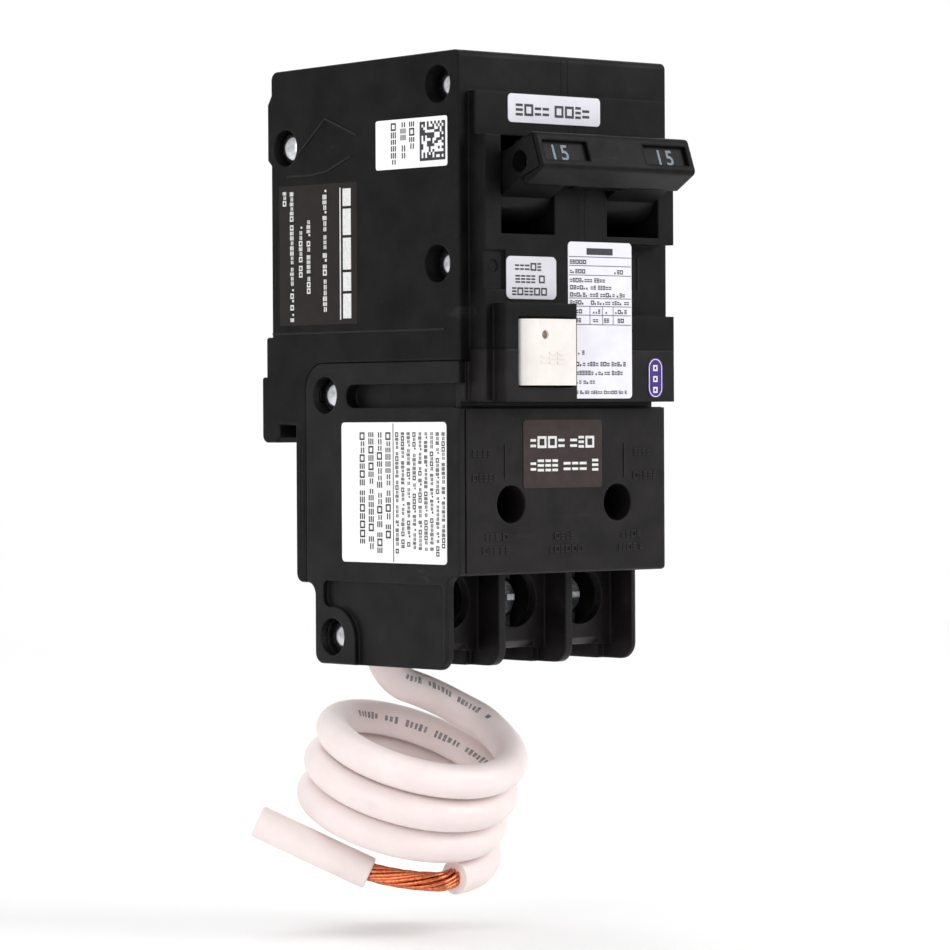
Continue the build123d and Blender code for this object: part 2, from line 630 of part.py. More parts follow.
def main_spring(side):
    """Spring that snaps the contact arm over."""
    middle = (side * (POLE_X - 3.3), -23.0, 35.9)
    with BuildPart() as spring:
        with BuildSketch(Plane(middle, x_dir=(1, 0, 0), z_dir=(0, 0.43, 0.9))):
            Circle(1.9)
            Circle(1.3, mode=Mode.SUBTRACT)
        extrude(amount=8, both=True)
    return spring


def cradle(side):
    """Latched lever that the bimetal, the magnet or the solenoid lets go."""
    outline = [(-41.0, 30.5), (-38.5, 29.5), (-16.4, 31.2), (-15.9, 33.4),
               (-16.8, 34.8), (-33.0, 37.2), (-39.4, 36.4)]
    low = side * (POLE_X + 4.0)
    with BuildPart() as lever_plate:
        with BuildSketch(Plane.YZ.offset(low)):
            side_face(outline)
            with Locations(CRADLE_PIVOT):
                Circle(PIN_HOLE_R, mode=Mode.SUBTRACT)
        extrude(amount=side * 1.6)
    return lever_plate


def trip_bar():
    """Bar through the centre plate that trips both poles together."""
    with BuildPart() as bar:
        reach = POLE_X + 4.0
        slab((-reach, reach), (-20.2, -18.2), (31.9, 33.5))
        fillet(bar.edges().filter_by(Axis.X), 0.4)
    return bar


def bimetal(side):
    """Strip that bends when the pole carries too much for too long."""
    x = side * POLE_X
    with BuildPart() as strip:
        slab((x - 3, x + 3), (-10.9, -10.1), (14.6, 40.0))
    return strip


def magnet_yoke(side):
    """U of steel round the bimetal, which pulls the armature on a short circuit."""
    x = side * POLE_X
    with BuildPart() as yoke:
        slab((x - 5.5, x + 5.5), (-11.0, -4.6), (26.0, 36.0))
        slab((x - 4.0, x + 4.0), (-11.5, -6.1), (25.0, 37.0), Mode.SUBTRACT)
    return yoke


def armature(side):
    """Steel plate with the window that latches the cradle."""
    x = side * POLE_X
    y, z = ARMATURE_PIVOT
    with BuildPart() as plate:
        slab((x - 4.8, x + 4.8), (y - 0.6, y + 0.6), (z - 1.2, 41.0))
        slab((x - 1.6, x + 1.6), (y - 1, y + 1), (27.0, 30.0), Mode.SUBTRACT)
    return plate


def arc_chute(side):
    """Steel plates that break up the arc, held between two boards."""
    x = side * POLE_X
    with BuildPart() as chute:
        for number in range(5):
            y = -38.0 + 4.0 * number
            slab((x - 7.4, x + 7.4), (y - 0.6, y + 0.6), (50.5, 63.4))
        for way in (-1, 1):
            slab((x + way * 6.6, x + way * 7.4), (-38.6, -21.4), (50.5, 63.4))
        slab((x - 3.2, x + 3.2), (-40, -20), (49, 61.2), Mode.SUBTRACT)
    return chute


def flexible_braids():
    """Copper braid from each contact arm's foot to its bimetal."""
    with BuildPart() as braids:
        for x in (-POLE_X, POLE_X):
            with BuildSketch(Plane.YZ.offset(x - 2)):
                side_face([(-31.0, 16.6), (-22.0, 14.6), (-12.6, 16.4),
                           (-12.6, 17.8), (-22.0, 16.0), (-31.0, 18.0)])
            extrude(amount=4)
    return braids


# ---- ground-fault module ------------------------------------------------------------------------
def load_strap(side):
    """Copper strap from a pole's bimetal, through the sensing ring, to its lug."""
    outer = POLE_X + 2.6
    with BuildPart() as strap:
        slab((side * (POLE_X - 2.6), side * outer), (-12.4, -11.0), (7.4, 19.0))
        slab((side * (POLE_X - 2.6), side * outer), (-31.0, -11.0), (7.4, 7.4 + STRAP_T))
        slab((side * 2.2, side * outer), (-31.0, -28.4), (7.4, 7.4 + STRAP_T))
        slab((side * 2.2, side * 4.0), (-31.0, -28.4), (-13.0, 7.4 + STRAP_T))
        slab((side * 2.2, side * 18.6), (-31.0, -28.4), (-13.0, -13.0 + STRAP_T))
        slab((side * 14.2, side * 18.6), (-31.0, -23.2), (-13.0, -13.0 + STRAP_T))
        slab((side * 14.2, side * 18.6), (-24.6, -23.2), (LUG_TOP_Z, -13.0 + STRAP_T))
    return strap


LUG_TOP_Z = -27.2
LUG_BOTTOM_Z = -40.0
LUG_ROOF_T = 1.4
LUG_Y = (-28.0, -19.8)
LUG_HALF_W = 5.2


def neutral_strap():
    """Strap from the neutral lug, through the sensing ring, to the pigtail's crimp."""
    with BuildPart() as strap:
        slab((-1, 1), (-24.6, -23.2), (LUG_TOP_Z, -14.6))
        slab((-1, 1), (-34.5, -23.2), (-16.0, -14.6))
        slab((-1, 1), (-34.5, -32.5), (-16.0, 4.8))
        slab((-21.4, 1), (-34.5, -32.5), (3.4, 4.8))
        slab((-21.4, -19.4), (-34.5, -32.5), (-22.0, 4.8))
        slab((-21.4, -19.4), (-34.5, -12.6), (-22.0, -20.6))
        slab((-21.4, EXIT_X + 1.6), (-15.4, -12.6), (-22.0, -20.6))
    return strap


def sense_ring():
    """Differential transformer: a wound ring round all three conductors."""
    with BuildPart() as ring:
        with BuildSketch(Plane.XY.offset(TOROID_Z[0])):
            with Locations(TOROID):
                Circle(11.0)
                Circle(6.5, mode=Mode.SUBTRACT)
        extrude(amount=TOROID_Z[1] - TOROID_Z[0])
        fillet(ring.edges().filter_by(GeomType.CIRCLE), 1.8)
    return ring


def circuit_board():
    """Control board across the back of the module."""
    with BuildPart() as board:
        slab((-20.0, 20.0), BOARD_Y, (-20.0, 3.0))
        for x in (-17.5, 17.5):
            for z in (-17.5, 0.5):
                rod_y(x, (BOARD_Y[0] - 1, BOARD_Y[1] + 1), z, 1.3, Mode.SUBTRACT)
    return board


def board_parts():
    """Capacitors, varistor, controller, rectifier and resistors on the board."""
    front = BOARD_Y[0]
    with BuildPart() as parts:
        rod_y(-8.0, (front - 6.0, front), -4.0, 3.0)
        rod_y(-1.0, (front - 5.0, front), -4.0, 2.5)
        rod_y(7.5, (front - 2.6, front), -6.0, 4.5)
        slab((-4.0, 4.0), (front - 1.6, front), (-16.0, -11.0))
        slab((9.0, 14.0), (front - 2.2, front), (-17.0, -13.5))
        for number in range(4):
            x = -10.0 + 2.2 * number
            slab((x - 0.7, x + 0.7), (front - 0.8, front), (-13.5, -10.5))
    return parts


def solenoid_coil():
    """Bobbin and winding that pull the plunger up."""
    with BuildPart() as coil:
        x, y = SOLENOID
        rod_z(x, y, (-9.0, 0.5), 3.9)
        for z in (-9.0, -0.3):
            rod_z(x, y, (z, z + 0.8), 4.4)
        rod_z(x, y, (-10, 1), 1.9, Mode.SUBTRACT)
    return coil


def solenoid_plunger():
    """Iron core that slides in the solenoid."""
    with BuildPart() as plunger:
        x, y = SOLENOID
        rod_z(x, y, (-8.0, 3.4), 1.6)
        rod_z(x, y, (3.4, 4.2), 2.6)
    return plunger


def plunger_spring():
    """Spring under the roof that pushes the plunger home."""
    with BuildPart() as spring:
        x, y = SOLENOID
        rod_z(x, y, (4.2, ROOM_Z[1]), 2.6)
        rod_z(x, y, (4, 10), 2.0, Mode.SUBTRACT)
    return spring


def trip_link():
    """Push rod on top of the plunger, up to the right cradle."""
    with BuildPart() as link:
        slab(LINK_X, LINK_Y, (4.2, 26.2))
    return link


def lug(x):
    """Load lug: a blind hole for the wire from below, and a hole for the screw from the front."""
    with BuildPart() as block:
        slab((x - LUG_HALF_W, x + LUG_HALF_W), LUG_Y, (LUG_BOTTOM_Z, LUG_TOP_Z))
        chamfer(block.edges().filter_by(Axis.Z), 0.5)
        rod_z(x, WIRE_Y, (LUG_BOTTOM_Z - 1, LUG_TOP_Z - LUG_ROOF_T), WIRE_R, Mode.SUBTRACT)
        rod_y(x, (LUG_Y[0] - 1, WIRE_Y), SCREW_Z, 1.95, Mode.SUBTRACT)
    return block


def lug_screws():
    """Clamping screws with pan heads and combination recesses."""
    with BuildPart() as screws:
        for x in TERMINAL_X:
            rod_y(x, (SCREW_FACE_Y, LUG_Y[0] - 0.3), SCREW_Z, SCREW_HEAD_R)
            rod_y(x, (LUG_Y[0] - 0.3, -27.0), SCREW_Z, 1.9)
        front = screws.edges().filter_by(GeomType.CIRCLE).group_by(Axis.Y)[0]
        fillet(front, 0.9)
        for x in TERMINAL_X:
            for across, high in ((3.3, 0.55), (0.55, 2.3)):
                slab((x - across, x + across), (SCREW_FACE_Y - 1, SCREW_FACE_Y + 1.0),
                     (SCREW_Z - high, SCREW_Z + high), Mode.SUBTRACT)
    return screws


def test_button():
    """White button with a rounded left edge, its stem, and the hole for its light."""
    with BuildPart() as button:
        slab(BUTTON_X, (BUTTON_Y, FACE_Y - 0.4), BUTTON_Z)
        upright = button.edges().filter_by(Axis.Z).group_by(Axis.Y)[0].sort_by(Axis.X)
        fillet(upright[0], 3.2)
        fillet(upright[1], 0.6)
        slab((BUTTON_MID_X - STEM_HALF_W, BUTTON_MID_X + STEM_HALF_W), (FACE_Y - 0.5, -45.0),
             (BUTTON_Z[0] + 0.2, 8.9))
        rod_y(LED_X, (BUTTON_Y - 1, FACE_Y), LED_Z, LED_R, Mode.SUBTRACT)
    return button


def status_led():
    """Clear light pipe in the button."""
    with BuildPart() as pipe:
        rod_y(LED_X, (BUTTON_Y + 0.5, FACE_Y - 0.4), LED_Z, LED_R)
    return pipe


def test_spring():
    """Bronze leaf behind the test button's stem."""
    with BuildPart() as leaf:
        slab((BUTTON_MID_X - 2.5, BUTTON_MID_X + 2.5), (-43.2, -42.7), (-6.0, 9.0))
    return leaf


# ---- stickers -----------------------------------------------------------------------------------
def front_sticker(x, z, plane_y, corner):
    """Round-cornered sticker on a face that looks forward."""
    with BuildPart() as sticker:
        with BuildSketch(Plane.XZ.offset(-plane_y)):
            with Locations(((x[0] + x[1]) / 2, (z[0] + z[1]) / 2)):
                RectangleRounded(x[1] - x[0], z[1] - z[0], corner)
        extrude(amount=STICKER_T)
    return sticker


def side_stickers(places):
    """Round-cornered stickers on the left side, each from two y, two z and a corner radius."""
    with BuildPart() as stickers:
        for y, z, corner in places:
            with BuildSketch(Plane.YZ.offset(-HALF_W)):
                with Locations(((y[0] + y[1]) / 2, (z[0] + z[1]) / 2)):
                    RectangleRounded(y[1] - y[0], z[1] - z[0], corner)
            extrude(amount=-STICKER_T)
    return stickers


# ---- pigtail ------------------------------------------------------------------------------------
def coil_axes():
    """Unit vectors of the coil: up its axis, across it, and back across it."""
    lean = math.radians(COIL_LEAN)
    side = math.radians(COIL_SIDE)
    up = Vector(math.sin(side), -math.sin(lean) * math.cos(side), math.cos(lean) * math.cos(side))
    across = (Vector(1, 0, 0) - up * up.X).normalized()
    return up, across, up.cross(across)


def bend_radii(route, label):
    """Largest arc for each corner of a route, printed with the section it bends."""
    points = [Vector(*point) for point in route]
    radii = []
    for before, corner, after in zip(points, points[1:], points[2:]):
        run_in = corner - before
        run_out = after - corner
        turn = math.radians(run_in.get_angle(run_out))
        radii.append(0.45 * min(run_in.length, run_out.length) / math.tan(turn / 2))
    print(label, "radii", [round(radius, 1) for radius in radii])
    return radii


def routed_tube(route, diameter, label):
    """Solid of one diameter along straight runs joined by arcs."""
    with BuildPart() as tube:
        with BuildLine() as path:
            FilletPolyline(*route, radius=bend_radii(route, label))
        centre = path.wires()[0]
        with BuildSketch(Plane(centre @ 0, z_dir=centre % 0)):
            Circle(diameter / 2)
        sweep(path=centre)
    section = math.pi * diameter**2 / 4
    length = centre.length
    print(label, "length", round(length, 1), "volume/expected", round(tube.part.volume / section / length, 4))
    return tube


def pigtail_coil():
    """Outer shape of the pigtail's three turns."""
    up, across, _ = coil_axes()
    drop = COIL_PITCH * (COIL_TURNS - 0.4)
    bottom = Vector(*COIL_CENTRE) - up * (drop + 0.4)
    with BuildPart() as coil:
        with BuildSketch(Plane(bottom, x_dir=across, z_dir=up)):
            Circle(COIL_R + CORD_D / 2)
            Circle(COIL_R - CORD_D / 2, mode=Mode.SUBTRACT)
        extrude(amount=drop)
        fillet(coil.edges().filter_by(GeomType.CIRCLE), 2.0)
    return coil


def pigtail_bushing():
    """Plastic bushing that the pigtail leaves by."""
    with BuildPart() as bushing:
        rod_z(EXIT_X, EXIT_Y, (WALL_BOTTOM_Z, WALL_BOTTOM_Z + 3.1), 4.45)
        rod_z(EXIT_X, EXIT_Y, (WALL_BOTTOM_Z - 1, WALL_BOTTOM_Z + 4), 3.75, Mode.SUBTRACT)
    return bushing


def pigtail_crimp():
    """Brass barrel that joins the pigtail to the neutral strap."""
    with BuildPart() as crimp:
        rod_z(EXIT_X, EXIT_Y, (-38.6, -22.0), 2.5)
    return crimp


TAIL_ROUTE = [
    (6.3, -16.1, -77.5),
    (4.6, -21.6, -80.2),
    (-1.0, -26.3, -82.5),
    (-9.0, -27.4, -83.4),
]
STRAND_ROUTE = [
    (-9.0, -27.4, -83.4),
    (-14.2, -27.9, -83.9),
    (-20.4, -17.6, -82.6),
    (-34.6, -5.2, -73.6),
]
SLUG_FROM = (-20.6, -17.4, -82.4)
SLUG_TO = (-36.1, -3.9, -72.6)
SLUG_R = (3.0, 1.95)


def pigtail_slug():
    """Piece of insulation left on the end of the strands."""
    start = Vector(*SLUG_FROM)
    reach = Vector(*SLUG_TO) - start
    with BuildPart() as slug:
        with BuildSketch(Plane(start, z_dir=reach)):
            Circle(SLUG_R[0])
            Circle(SLUG_R[1], mode=Mode.SUBTRACT)
        extrude(amount=reach.length)
    return slug


# ---- write every piece --------------------------------------------------------------------------
os.makedirs("parts", exist_ok=True)
for side, word in ((-1, "left"), (1, "right")):
    write(pole_case(side), f"case_{word}")
    write(pole_handle(side), f"handle_{word}")
    write(line_jaw(side), f"line_jaw_{word}")
    write(contact_arm(side), f"contact_arm_{word}")
    write(main_spring(side), f"main_spring_{word}")
    write(cradle(side), f"cradle_{word}")
    write(bimetal(side), f"bimetal_{word}")
    write(magnet_yoke(side), f"magnet_yoke_{word}")
    write(armature(side), f"armature_{word}")
    write(arc_chute(side), f"arc_chute_{word}")
    write(load_strap(side), f"load_strap_{word}")
write(centre_plate(), "case_centre_plate")
write(module_base(), "module_base")
write(terminal_block(), "terminal_block")
write(side_cover(), "module_side_cover")
write(case_rivets(), "case_rivets")
write(handle_tie_bar(), "handle_tie_bar")
write(handle_tie_pin(), "handle_tie_pin")
write(jaw_springs(), "jaw_springs")
write(trip_bar(), "trip_bar")
write(flexible_braids(), "flexible_braids")
write(neutral_strap(), "neutral_strap")
write(sense_ring(), "sense_ring")
write(circuit_board(), "circuit_board")
write(board_parts(), "board_parts")
write(solenoid_coil(), "solenoid_coil")
write(solenoid_plunger(), "solenoid_plunger")
write(plunger_spring(), "plunger_spring")
write(trip_link(), "trip_link")
for x, word in zip(TERMINAL_X, ("left", "centre", "right")):
    write(lug(x), f"lug_{word}")
write(lug_screws(), "lug_screws")
write(test_button(), "test_button")
write(status_led(), "status_led")
write(test_spring(), "test_spring")
write(front_sticker((-15.3, 7.0), (53.8, 58.9), PANEL_Y, 0.8), "serial_label")
write(front_sticker((-18.1, -6.2), (22.2, 29.8), FACE_Y, 1.0), "notice_label")
write(front_sticker((-3.3, 12.3), (4.5, 32.7), FACE_Y, 0.8), "rating_label")
write(front_sticker((16.4, 20.0), (4.6, 11.9), FACE_Y, 1.6), "tag_label")
write(front_sticker((-10.1, 9.1), (-11.6, 0.7), BLOCK_Y, 0.6), "wiring_label")
SIDE_STICKERS = [((-45.95, -26.2), (45.9, 54.8), 0.5), ((-45.3, -16.0), (-25.0, 0.4), 0.8)]
write(side_stickers(SIDE_STICKERS), "side_labels")
write(routed_tube(LEAD_ROUTE, CORD_D, "lead"), "pigtail_lead")
write(pigtail_coil(), "pigtail_coil")
write(routed_tube(TAIL_ROUTE, CORD_D, "tail"), "pigtail_tail")
write(routed_tube(STRAND_ROUTE, CONDUCTOR_D, "strands"), "pigtail_strands")
write(pigtail_slug(), "pigtail_slug")
write(pigtail_bushing(), "pigtail_bushing")
write(pigtail_crimp(), "pigtail_crimp")
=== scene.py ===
import math
import random

import bpy
from mathutils import Matrix, Vector


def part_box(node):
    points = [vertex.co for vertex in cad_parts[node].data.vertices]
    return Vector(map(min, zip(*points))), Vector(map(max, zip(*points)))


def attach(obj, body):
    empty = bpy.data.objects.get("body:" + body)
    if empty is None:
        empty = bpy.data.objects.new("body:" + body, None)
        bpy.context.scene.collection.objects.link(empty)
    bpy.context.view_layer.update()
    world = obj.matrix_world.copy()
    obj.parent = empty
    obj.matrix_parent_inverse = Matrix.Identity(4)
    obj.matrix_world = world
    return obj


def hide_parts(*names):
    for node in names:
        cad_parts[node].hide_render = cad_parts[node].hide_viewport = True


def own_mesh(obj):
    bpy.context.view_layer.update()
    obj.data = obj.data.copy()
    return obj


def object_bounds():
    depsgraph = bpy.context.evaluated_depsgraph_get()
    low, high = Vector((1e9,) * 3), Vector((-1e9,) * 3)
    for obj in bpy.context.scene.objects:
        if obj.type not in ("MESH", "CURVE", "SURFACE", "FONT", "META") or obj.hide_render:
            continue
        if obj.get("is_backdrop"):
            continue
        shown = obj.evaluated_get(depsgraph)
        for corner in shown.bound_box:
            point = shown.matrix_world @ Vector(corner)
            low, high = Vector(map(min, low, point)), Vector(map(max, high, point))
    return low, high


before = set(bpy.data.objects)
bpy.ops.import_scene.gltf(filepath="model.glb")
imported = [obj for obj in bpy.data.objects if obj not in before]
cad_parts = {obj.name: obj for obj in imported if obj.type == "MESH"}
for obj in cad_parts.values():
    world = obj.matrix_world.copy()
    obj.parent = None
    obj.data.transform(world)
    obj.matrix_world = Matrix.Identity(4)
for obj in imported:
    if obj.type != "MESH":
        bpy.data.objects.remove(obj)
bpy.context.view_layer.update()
MM = 0.001
TAU = 2 * math.pi
chance = random.Random(15)


# ---- camera -------------------------------------------------------------------------------------
# degrees: turned to the left of the front, tilted down a little, and rolled a little
CAMERA_TURN = 41.15
CAMERA_TILT = -0.73
CAMERA_ROLL = -0.30
CAMERA_PLACE = Vector((-514.7, -612.8, 0.5))
SENSOR_W = 36.0
LENS = 159.87


def set_camera():
    """Long lens, nearly level with the object, which stands turned to the camera's right."""
    data = bpy.data.cameras.new("camera")
    data.sensor_width = SENSOR_W
    data.lens = LENS
    data.clip_start = 0.05
    data.clip_end = 20
    turn = (Matrix.Rotation(math.radians(-CAMERA_TURN), 4, "Z")
            @ Matrix.Rotation(math.radians(90 + CAMERA_TILT), 4, "X")
            @ Matrix.Rotation(math.radians(CAMERA_ROLL), 4, "Z"))
    camera = bpy.data.objects.new("camera", data)
    camera.matrix_world = Matrix.Translation(CAMERA_PLACE * MM) @ turn
    bpy.context.scene.collection.objects.link(camera)
    bpy.context.scene.camera = camera


set_camera()


# ---- materials ----------------------------------------------------------------------------------
def link(tree, source, out, target, into):
    tree.links.new(source.outputs[out], target.inputs[into])


def ramp(tree, stops):
    """Colour ramp from (position, colour or grey) stops."""
    node = tree.nodes.new("ShaderNodeValToRGB")
    elements = node.color_ramp.elements
    for _ in range(len(stops) - 2):
        elements.new(0.5)
    for element, (place, colour) in zip(elements, stops):
        element.position = place
        grey = isinstance(colour, (int, float))
        element.color = (colour, colour, colour, 1) if grey else (*colour, 1)
    return node


def noise(tree, scale, detail=4.0, stretch=(1, 1, 1), rough=0.55):
    """Noise in the object's own metres, stretched along the axes."""
    where = tree.nodes.new("ShaderNodeTexCoord")
    mapping = tree.nodes.new("ShaderNodeMapping")
    mapping.inputs["Scale"].default_value = stretch
    texture = tree.nodes.new("ShaderNodeTexNoise")
    texture.inputs["Scale"].default_value = scale
    texture.inputs["Detail"].default_value = detail
    texture.inputs["Roughness"].default_value = rough
    link(tree, where, "Object", mapping, "Vector")
    link(tree, mapping, "Vector", texture, "Vector")
    return texture


def surface(name, dark, light, rough=(0.4, 0.55), metal=0.0, grain=700, bump=0.05, fine=5000,
            stretch=(1, 1, 1), marks=None, shine=0.5, glow=0.0, rounded=0.0):
    """Procedural surface: mottled colour, uneven roughness and fine bump.

    marks gives the colour of light scuffs, and rounded softens every sharp edge by that many millimetres."""
    material = bpy.data.materials.new(name)
    material.use_nodes = True
    tree = material.node_tree
    shader = tree.nodes["Principled BSDF"]
    shader.inputs["Metallic"].default_value = metal
    shader.inputs["Specular IOR Level"].default_value = shine
    mottle = noise(tree, grain, 5, stretch)
    colours = ramp(tree, [(0.3, dark), (0.7, light)])
    link(tree, mottle, "Fac", colours, "Fac")
    if marks:
        streaks = noise(tree, grain * 0.5, 8, (0.25, 1.0, 2.2), 0.75)
        cut = ramp(tree, [(0.62, 0.0), (0.72, 0.5)])
        blend = tree.nodes.new("ShaderNodeMixRGB")
        blend.inputs["Color2"].default_value = (*marks, 1)
        link(tree, streaks, "Fac", cut, "Fac")
        link(tree, cut, "Color", blend, "Fac")
        link(tree, colours, "Color", blend, "Color1")
        link(tree, blend, "Color", shader, "Base Color")
    else:
        link(tree, colours, "Color", shader, "Base Color")
    patches = noise(tree, grain * 0.3, 6, stretch)
    gloss = ramp(tree, [(0.3, rough[0]), (0.7, rough[1])])
    link(tree, patches, "Fac", gloss, "Fac")
    link(tree, gloss, "Color", shader, "Roughness")
    texture = noise(tree, fine, 3, stretch)
    relief = tree.nodes.new("ShaderNodeBump")
    relief.inputs["Strength"].default_value = bump
    relief.inputs["Distance"].default_value = 0.0002
    link(tree, texture, "Fac", relief, "Height")
    if rounded:
        soft = tree.nodes.new("ShaderNodeBevel")
        soft.samples = 6
        soft.inputs["Radius"].default_value = rounded * MM
        link(tree, soft, "Normal", relief, "Normal")
    link(tree, relief, "Normal", shader, "Normal")
    if glow:
        shader.inputs["Subsurface Weight"].default_value = glow
        shader.inputs["Subsurface Radius"].default_value = (0.003, 0.0016, 0.001)
    return material


BLACK = surface("black thermoset", (0.0026, 0.0024, 0.0026), (0.0100, 0.0092, 0.0097), (0.34, 0.55),
                grain=170, bump=0.16, fine=3800, marks=(0.040, 0.037, 0.039), shine=0.17, rounded=0.5)
CASE_BLACK = surface("case thermoset", (0.0016, 0.0014, 0.0015), (0.0072, 0.0065, 0.0068), (0.34, 0.55),
                     grain=170, bump=0.16, fine=3800, marks=(0.036, 0.033, 0.034), shine=0.12, rounded=0.5)
# painted shade: near-black surface for strips laid along seams, where the gap between parts falls into shadow
SEAM_SHADOW = surface("seam shadow", (0.0004, 0.0004, 0.0004), (0.0012, 0.0012, 0.0012), (0.8, 0.95),
                     grain=600, shine=0.02)
FRONT_BLACK = surface("front moulding", (0.0044, 0.0036, 0.0038), (0.0120, 0.0098, 0.0102), (0.34, 0.52),
                      grain=190, bump=0.16, fine=3800, marks=(0.044, 0.038, 0.038), shine=0.17,
                      rounded=0.6)
HANDLE_BLACK = surface("tie bar", (0.0022, 0.0019, 0.0020), (0.0075, 0.0066, 0.0068), (0.28, 0.42),
                       grain=420, bump=0.08, fine=5200, marks=(0.046, 0.040, 0.040), shine=0.09, rounded=0.7)
HANDLE_CORE = surface("handle", (0.0022, 0.0021, 0.0022), (0.0050, 0.0048, 0.0050), (0.35, 0.50),
                      grain=420, bump=0.06, fine=5200, marks=(0.015, 0.014, 0.014), shine=0.15)
PRINT_BLACK = surface("moulded marks", (0.009, 0.008, 0.008), (0.016, 0.014, 0.014), (0.4, 0.5),
                      grain=500, shine=0.2)
TINT = surface("printed panel", (0.0090, 0.0062, 0.0058), (0.0140, 0.0098, 0.0090), (0.30, 0.40),
               grain=500, bump=0.02, shine=0.22)
ZINC = surface("zinc", (0.50, 0.51, 0.53), (0.80, 0.82, 0.86), (0.10, 0.26), 1.0, 900, 0.10, 3500,
               marks=(0.9, 0.9, 0.92))
STEEL = surface("steel", (0.30, 0.30, 0.31), (0.50, 0.50, 0.51), (0.25, 0.42), 1.0, 900, 0.10, 3000,
                (1, 1, 6), marks=(0.62, 0.62, 0.62))
BIMETAL = surface("bimetal", (0.40, 0.36, 0.30), (0.58, 0.53, 0.46), (0.25, 0.4), 1.0, 800, 0.08)
COPPER = surface("copper strip", (0.55, 0.26, 0.14), (0.86, 0.47, 0.28), (0.2, 0.4), 1.0, 800, 0.08)
STRAND = surface("copper strands", (0.48, 0.105, 0.042), (0.80, 0.27, 0.13), (0.16, 0.32), 1.0, 1600, 0.06,
                 marks=(0.95, 0.58, 0.38))
WINDING = surface("enamelled winding", (0.28, 0.09, 0.04), (0.50, 0.20, 0.09), (0.2, 0.3), 0.8, 400, 0.3, 900,
                  (0.2, 0.2, 9))
TIN = surface("tin plate", (0.50, 0.50, 0.50), (0.72, 0.72, 0.71), (0.28, 0.45), 1.0, 700, 0.10)
BRASS = surface("brass", (0.50, 0.35, 0.12), (0.75, 0.57, 0.25), (0.25, 0.4), 1.0, 700, 0.08)
GREY = surface("inner plastic", (0.30, 0.28, 0.25), (0.40, 0.38, 0.34), (0.4, 0.55), grain=500)
BOARD = surface("laminate", (0.020, 0.085, 0.035), (0.035, 0.13, 0.06), (0.25, 0.4), grain=900, bump=0.04)
PARTS = surface("components", (0.015, 0.015, 0.018), (0.05, 0.05, 0.06), (0.25, 0.45), grain=500)
RING = surface("taped ring", (0.015, 0.025, 0.07), (0.03, 0.05, 0.12), (0.3, 0.5),
               grain=500, bump=0.3, fine=1200)
CREAM = surface("button", (0.745, 0.70, 0.665), (0.81, 0.765, 0.73), (0.30, 0.42),
                grain=300, bump=0.03, glow=0.1)
PIPE = surface("light pipe", (0.16, 0.11, 0.07), (0.30, 0.22, 0.15), (0.1, 0.2), grain=900)
LABEL = surface("white label", (0.74, 0.73, 0.80), (0.81, 0.80, 0.87), (0.35, 0.50), grain=260, bump=0.02)
NOTICE = surface("notice label", (0.60, 0.59, 0.64), (0.67, 0.66, 0.71), (0.35, 0.50), grain=260, bump=0.02)
SIDE_LABEL = surface("side label", (0.90, 0.90, 0.90), (0.94, 0.94, 0.94), (0.35, 0.50), grain=260, bump=0.02)
BROWN = surface("brown label", (0.027, 0.0165, 0.015), (0.040, 0.026, 0.0245), (0.36, 0.5),
                grain=420, bump=0.03, shine=0.25)
PURPLE = surface("purple label", (0.040, 0.014, 0.155), (0.060, 0.024, 0.215), (0.3, 0.45),
                 grain=420, bump=0.03, shine=0.3)
INK = surface("black ink", (0.012, 0.012, 0.016), (0.035, 0.035, 0.045), (0.4, 0.55), grain=2500, bump=0.02)
WHITE_INK = surface("white ink", (0.62, 0.62, 0.62), (0.82, 0.82, 0.82), (0.4, 0.55), grain=2500, bump=0.02)
BLUE_INK = surface("grey-blue ink", (0.12, 0.165, 0.21), (0.21, 0.265, 0.32), (0.4, 0.55),
                   grain=2500, bump=0.02)
FAINT_INK = surface("faint ink", (0.14, 0.14, 0.15), (0.42, 0.40, 0.40), (0.4, 0.55), grain=1800, bump=0.02)
INSULATION = surface("insulation", (0.83, 0.725, 0.710), (0.89, 0.790, 0.775), (0.34, 0.46), grain=130,
                     bump=0.03, fine=2500, glow=0.18)

WELD_REACH = 0.002
BEVEL_ANGLE = 40

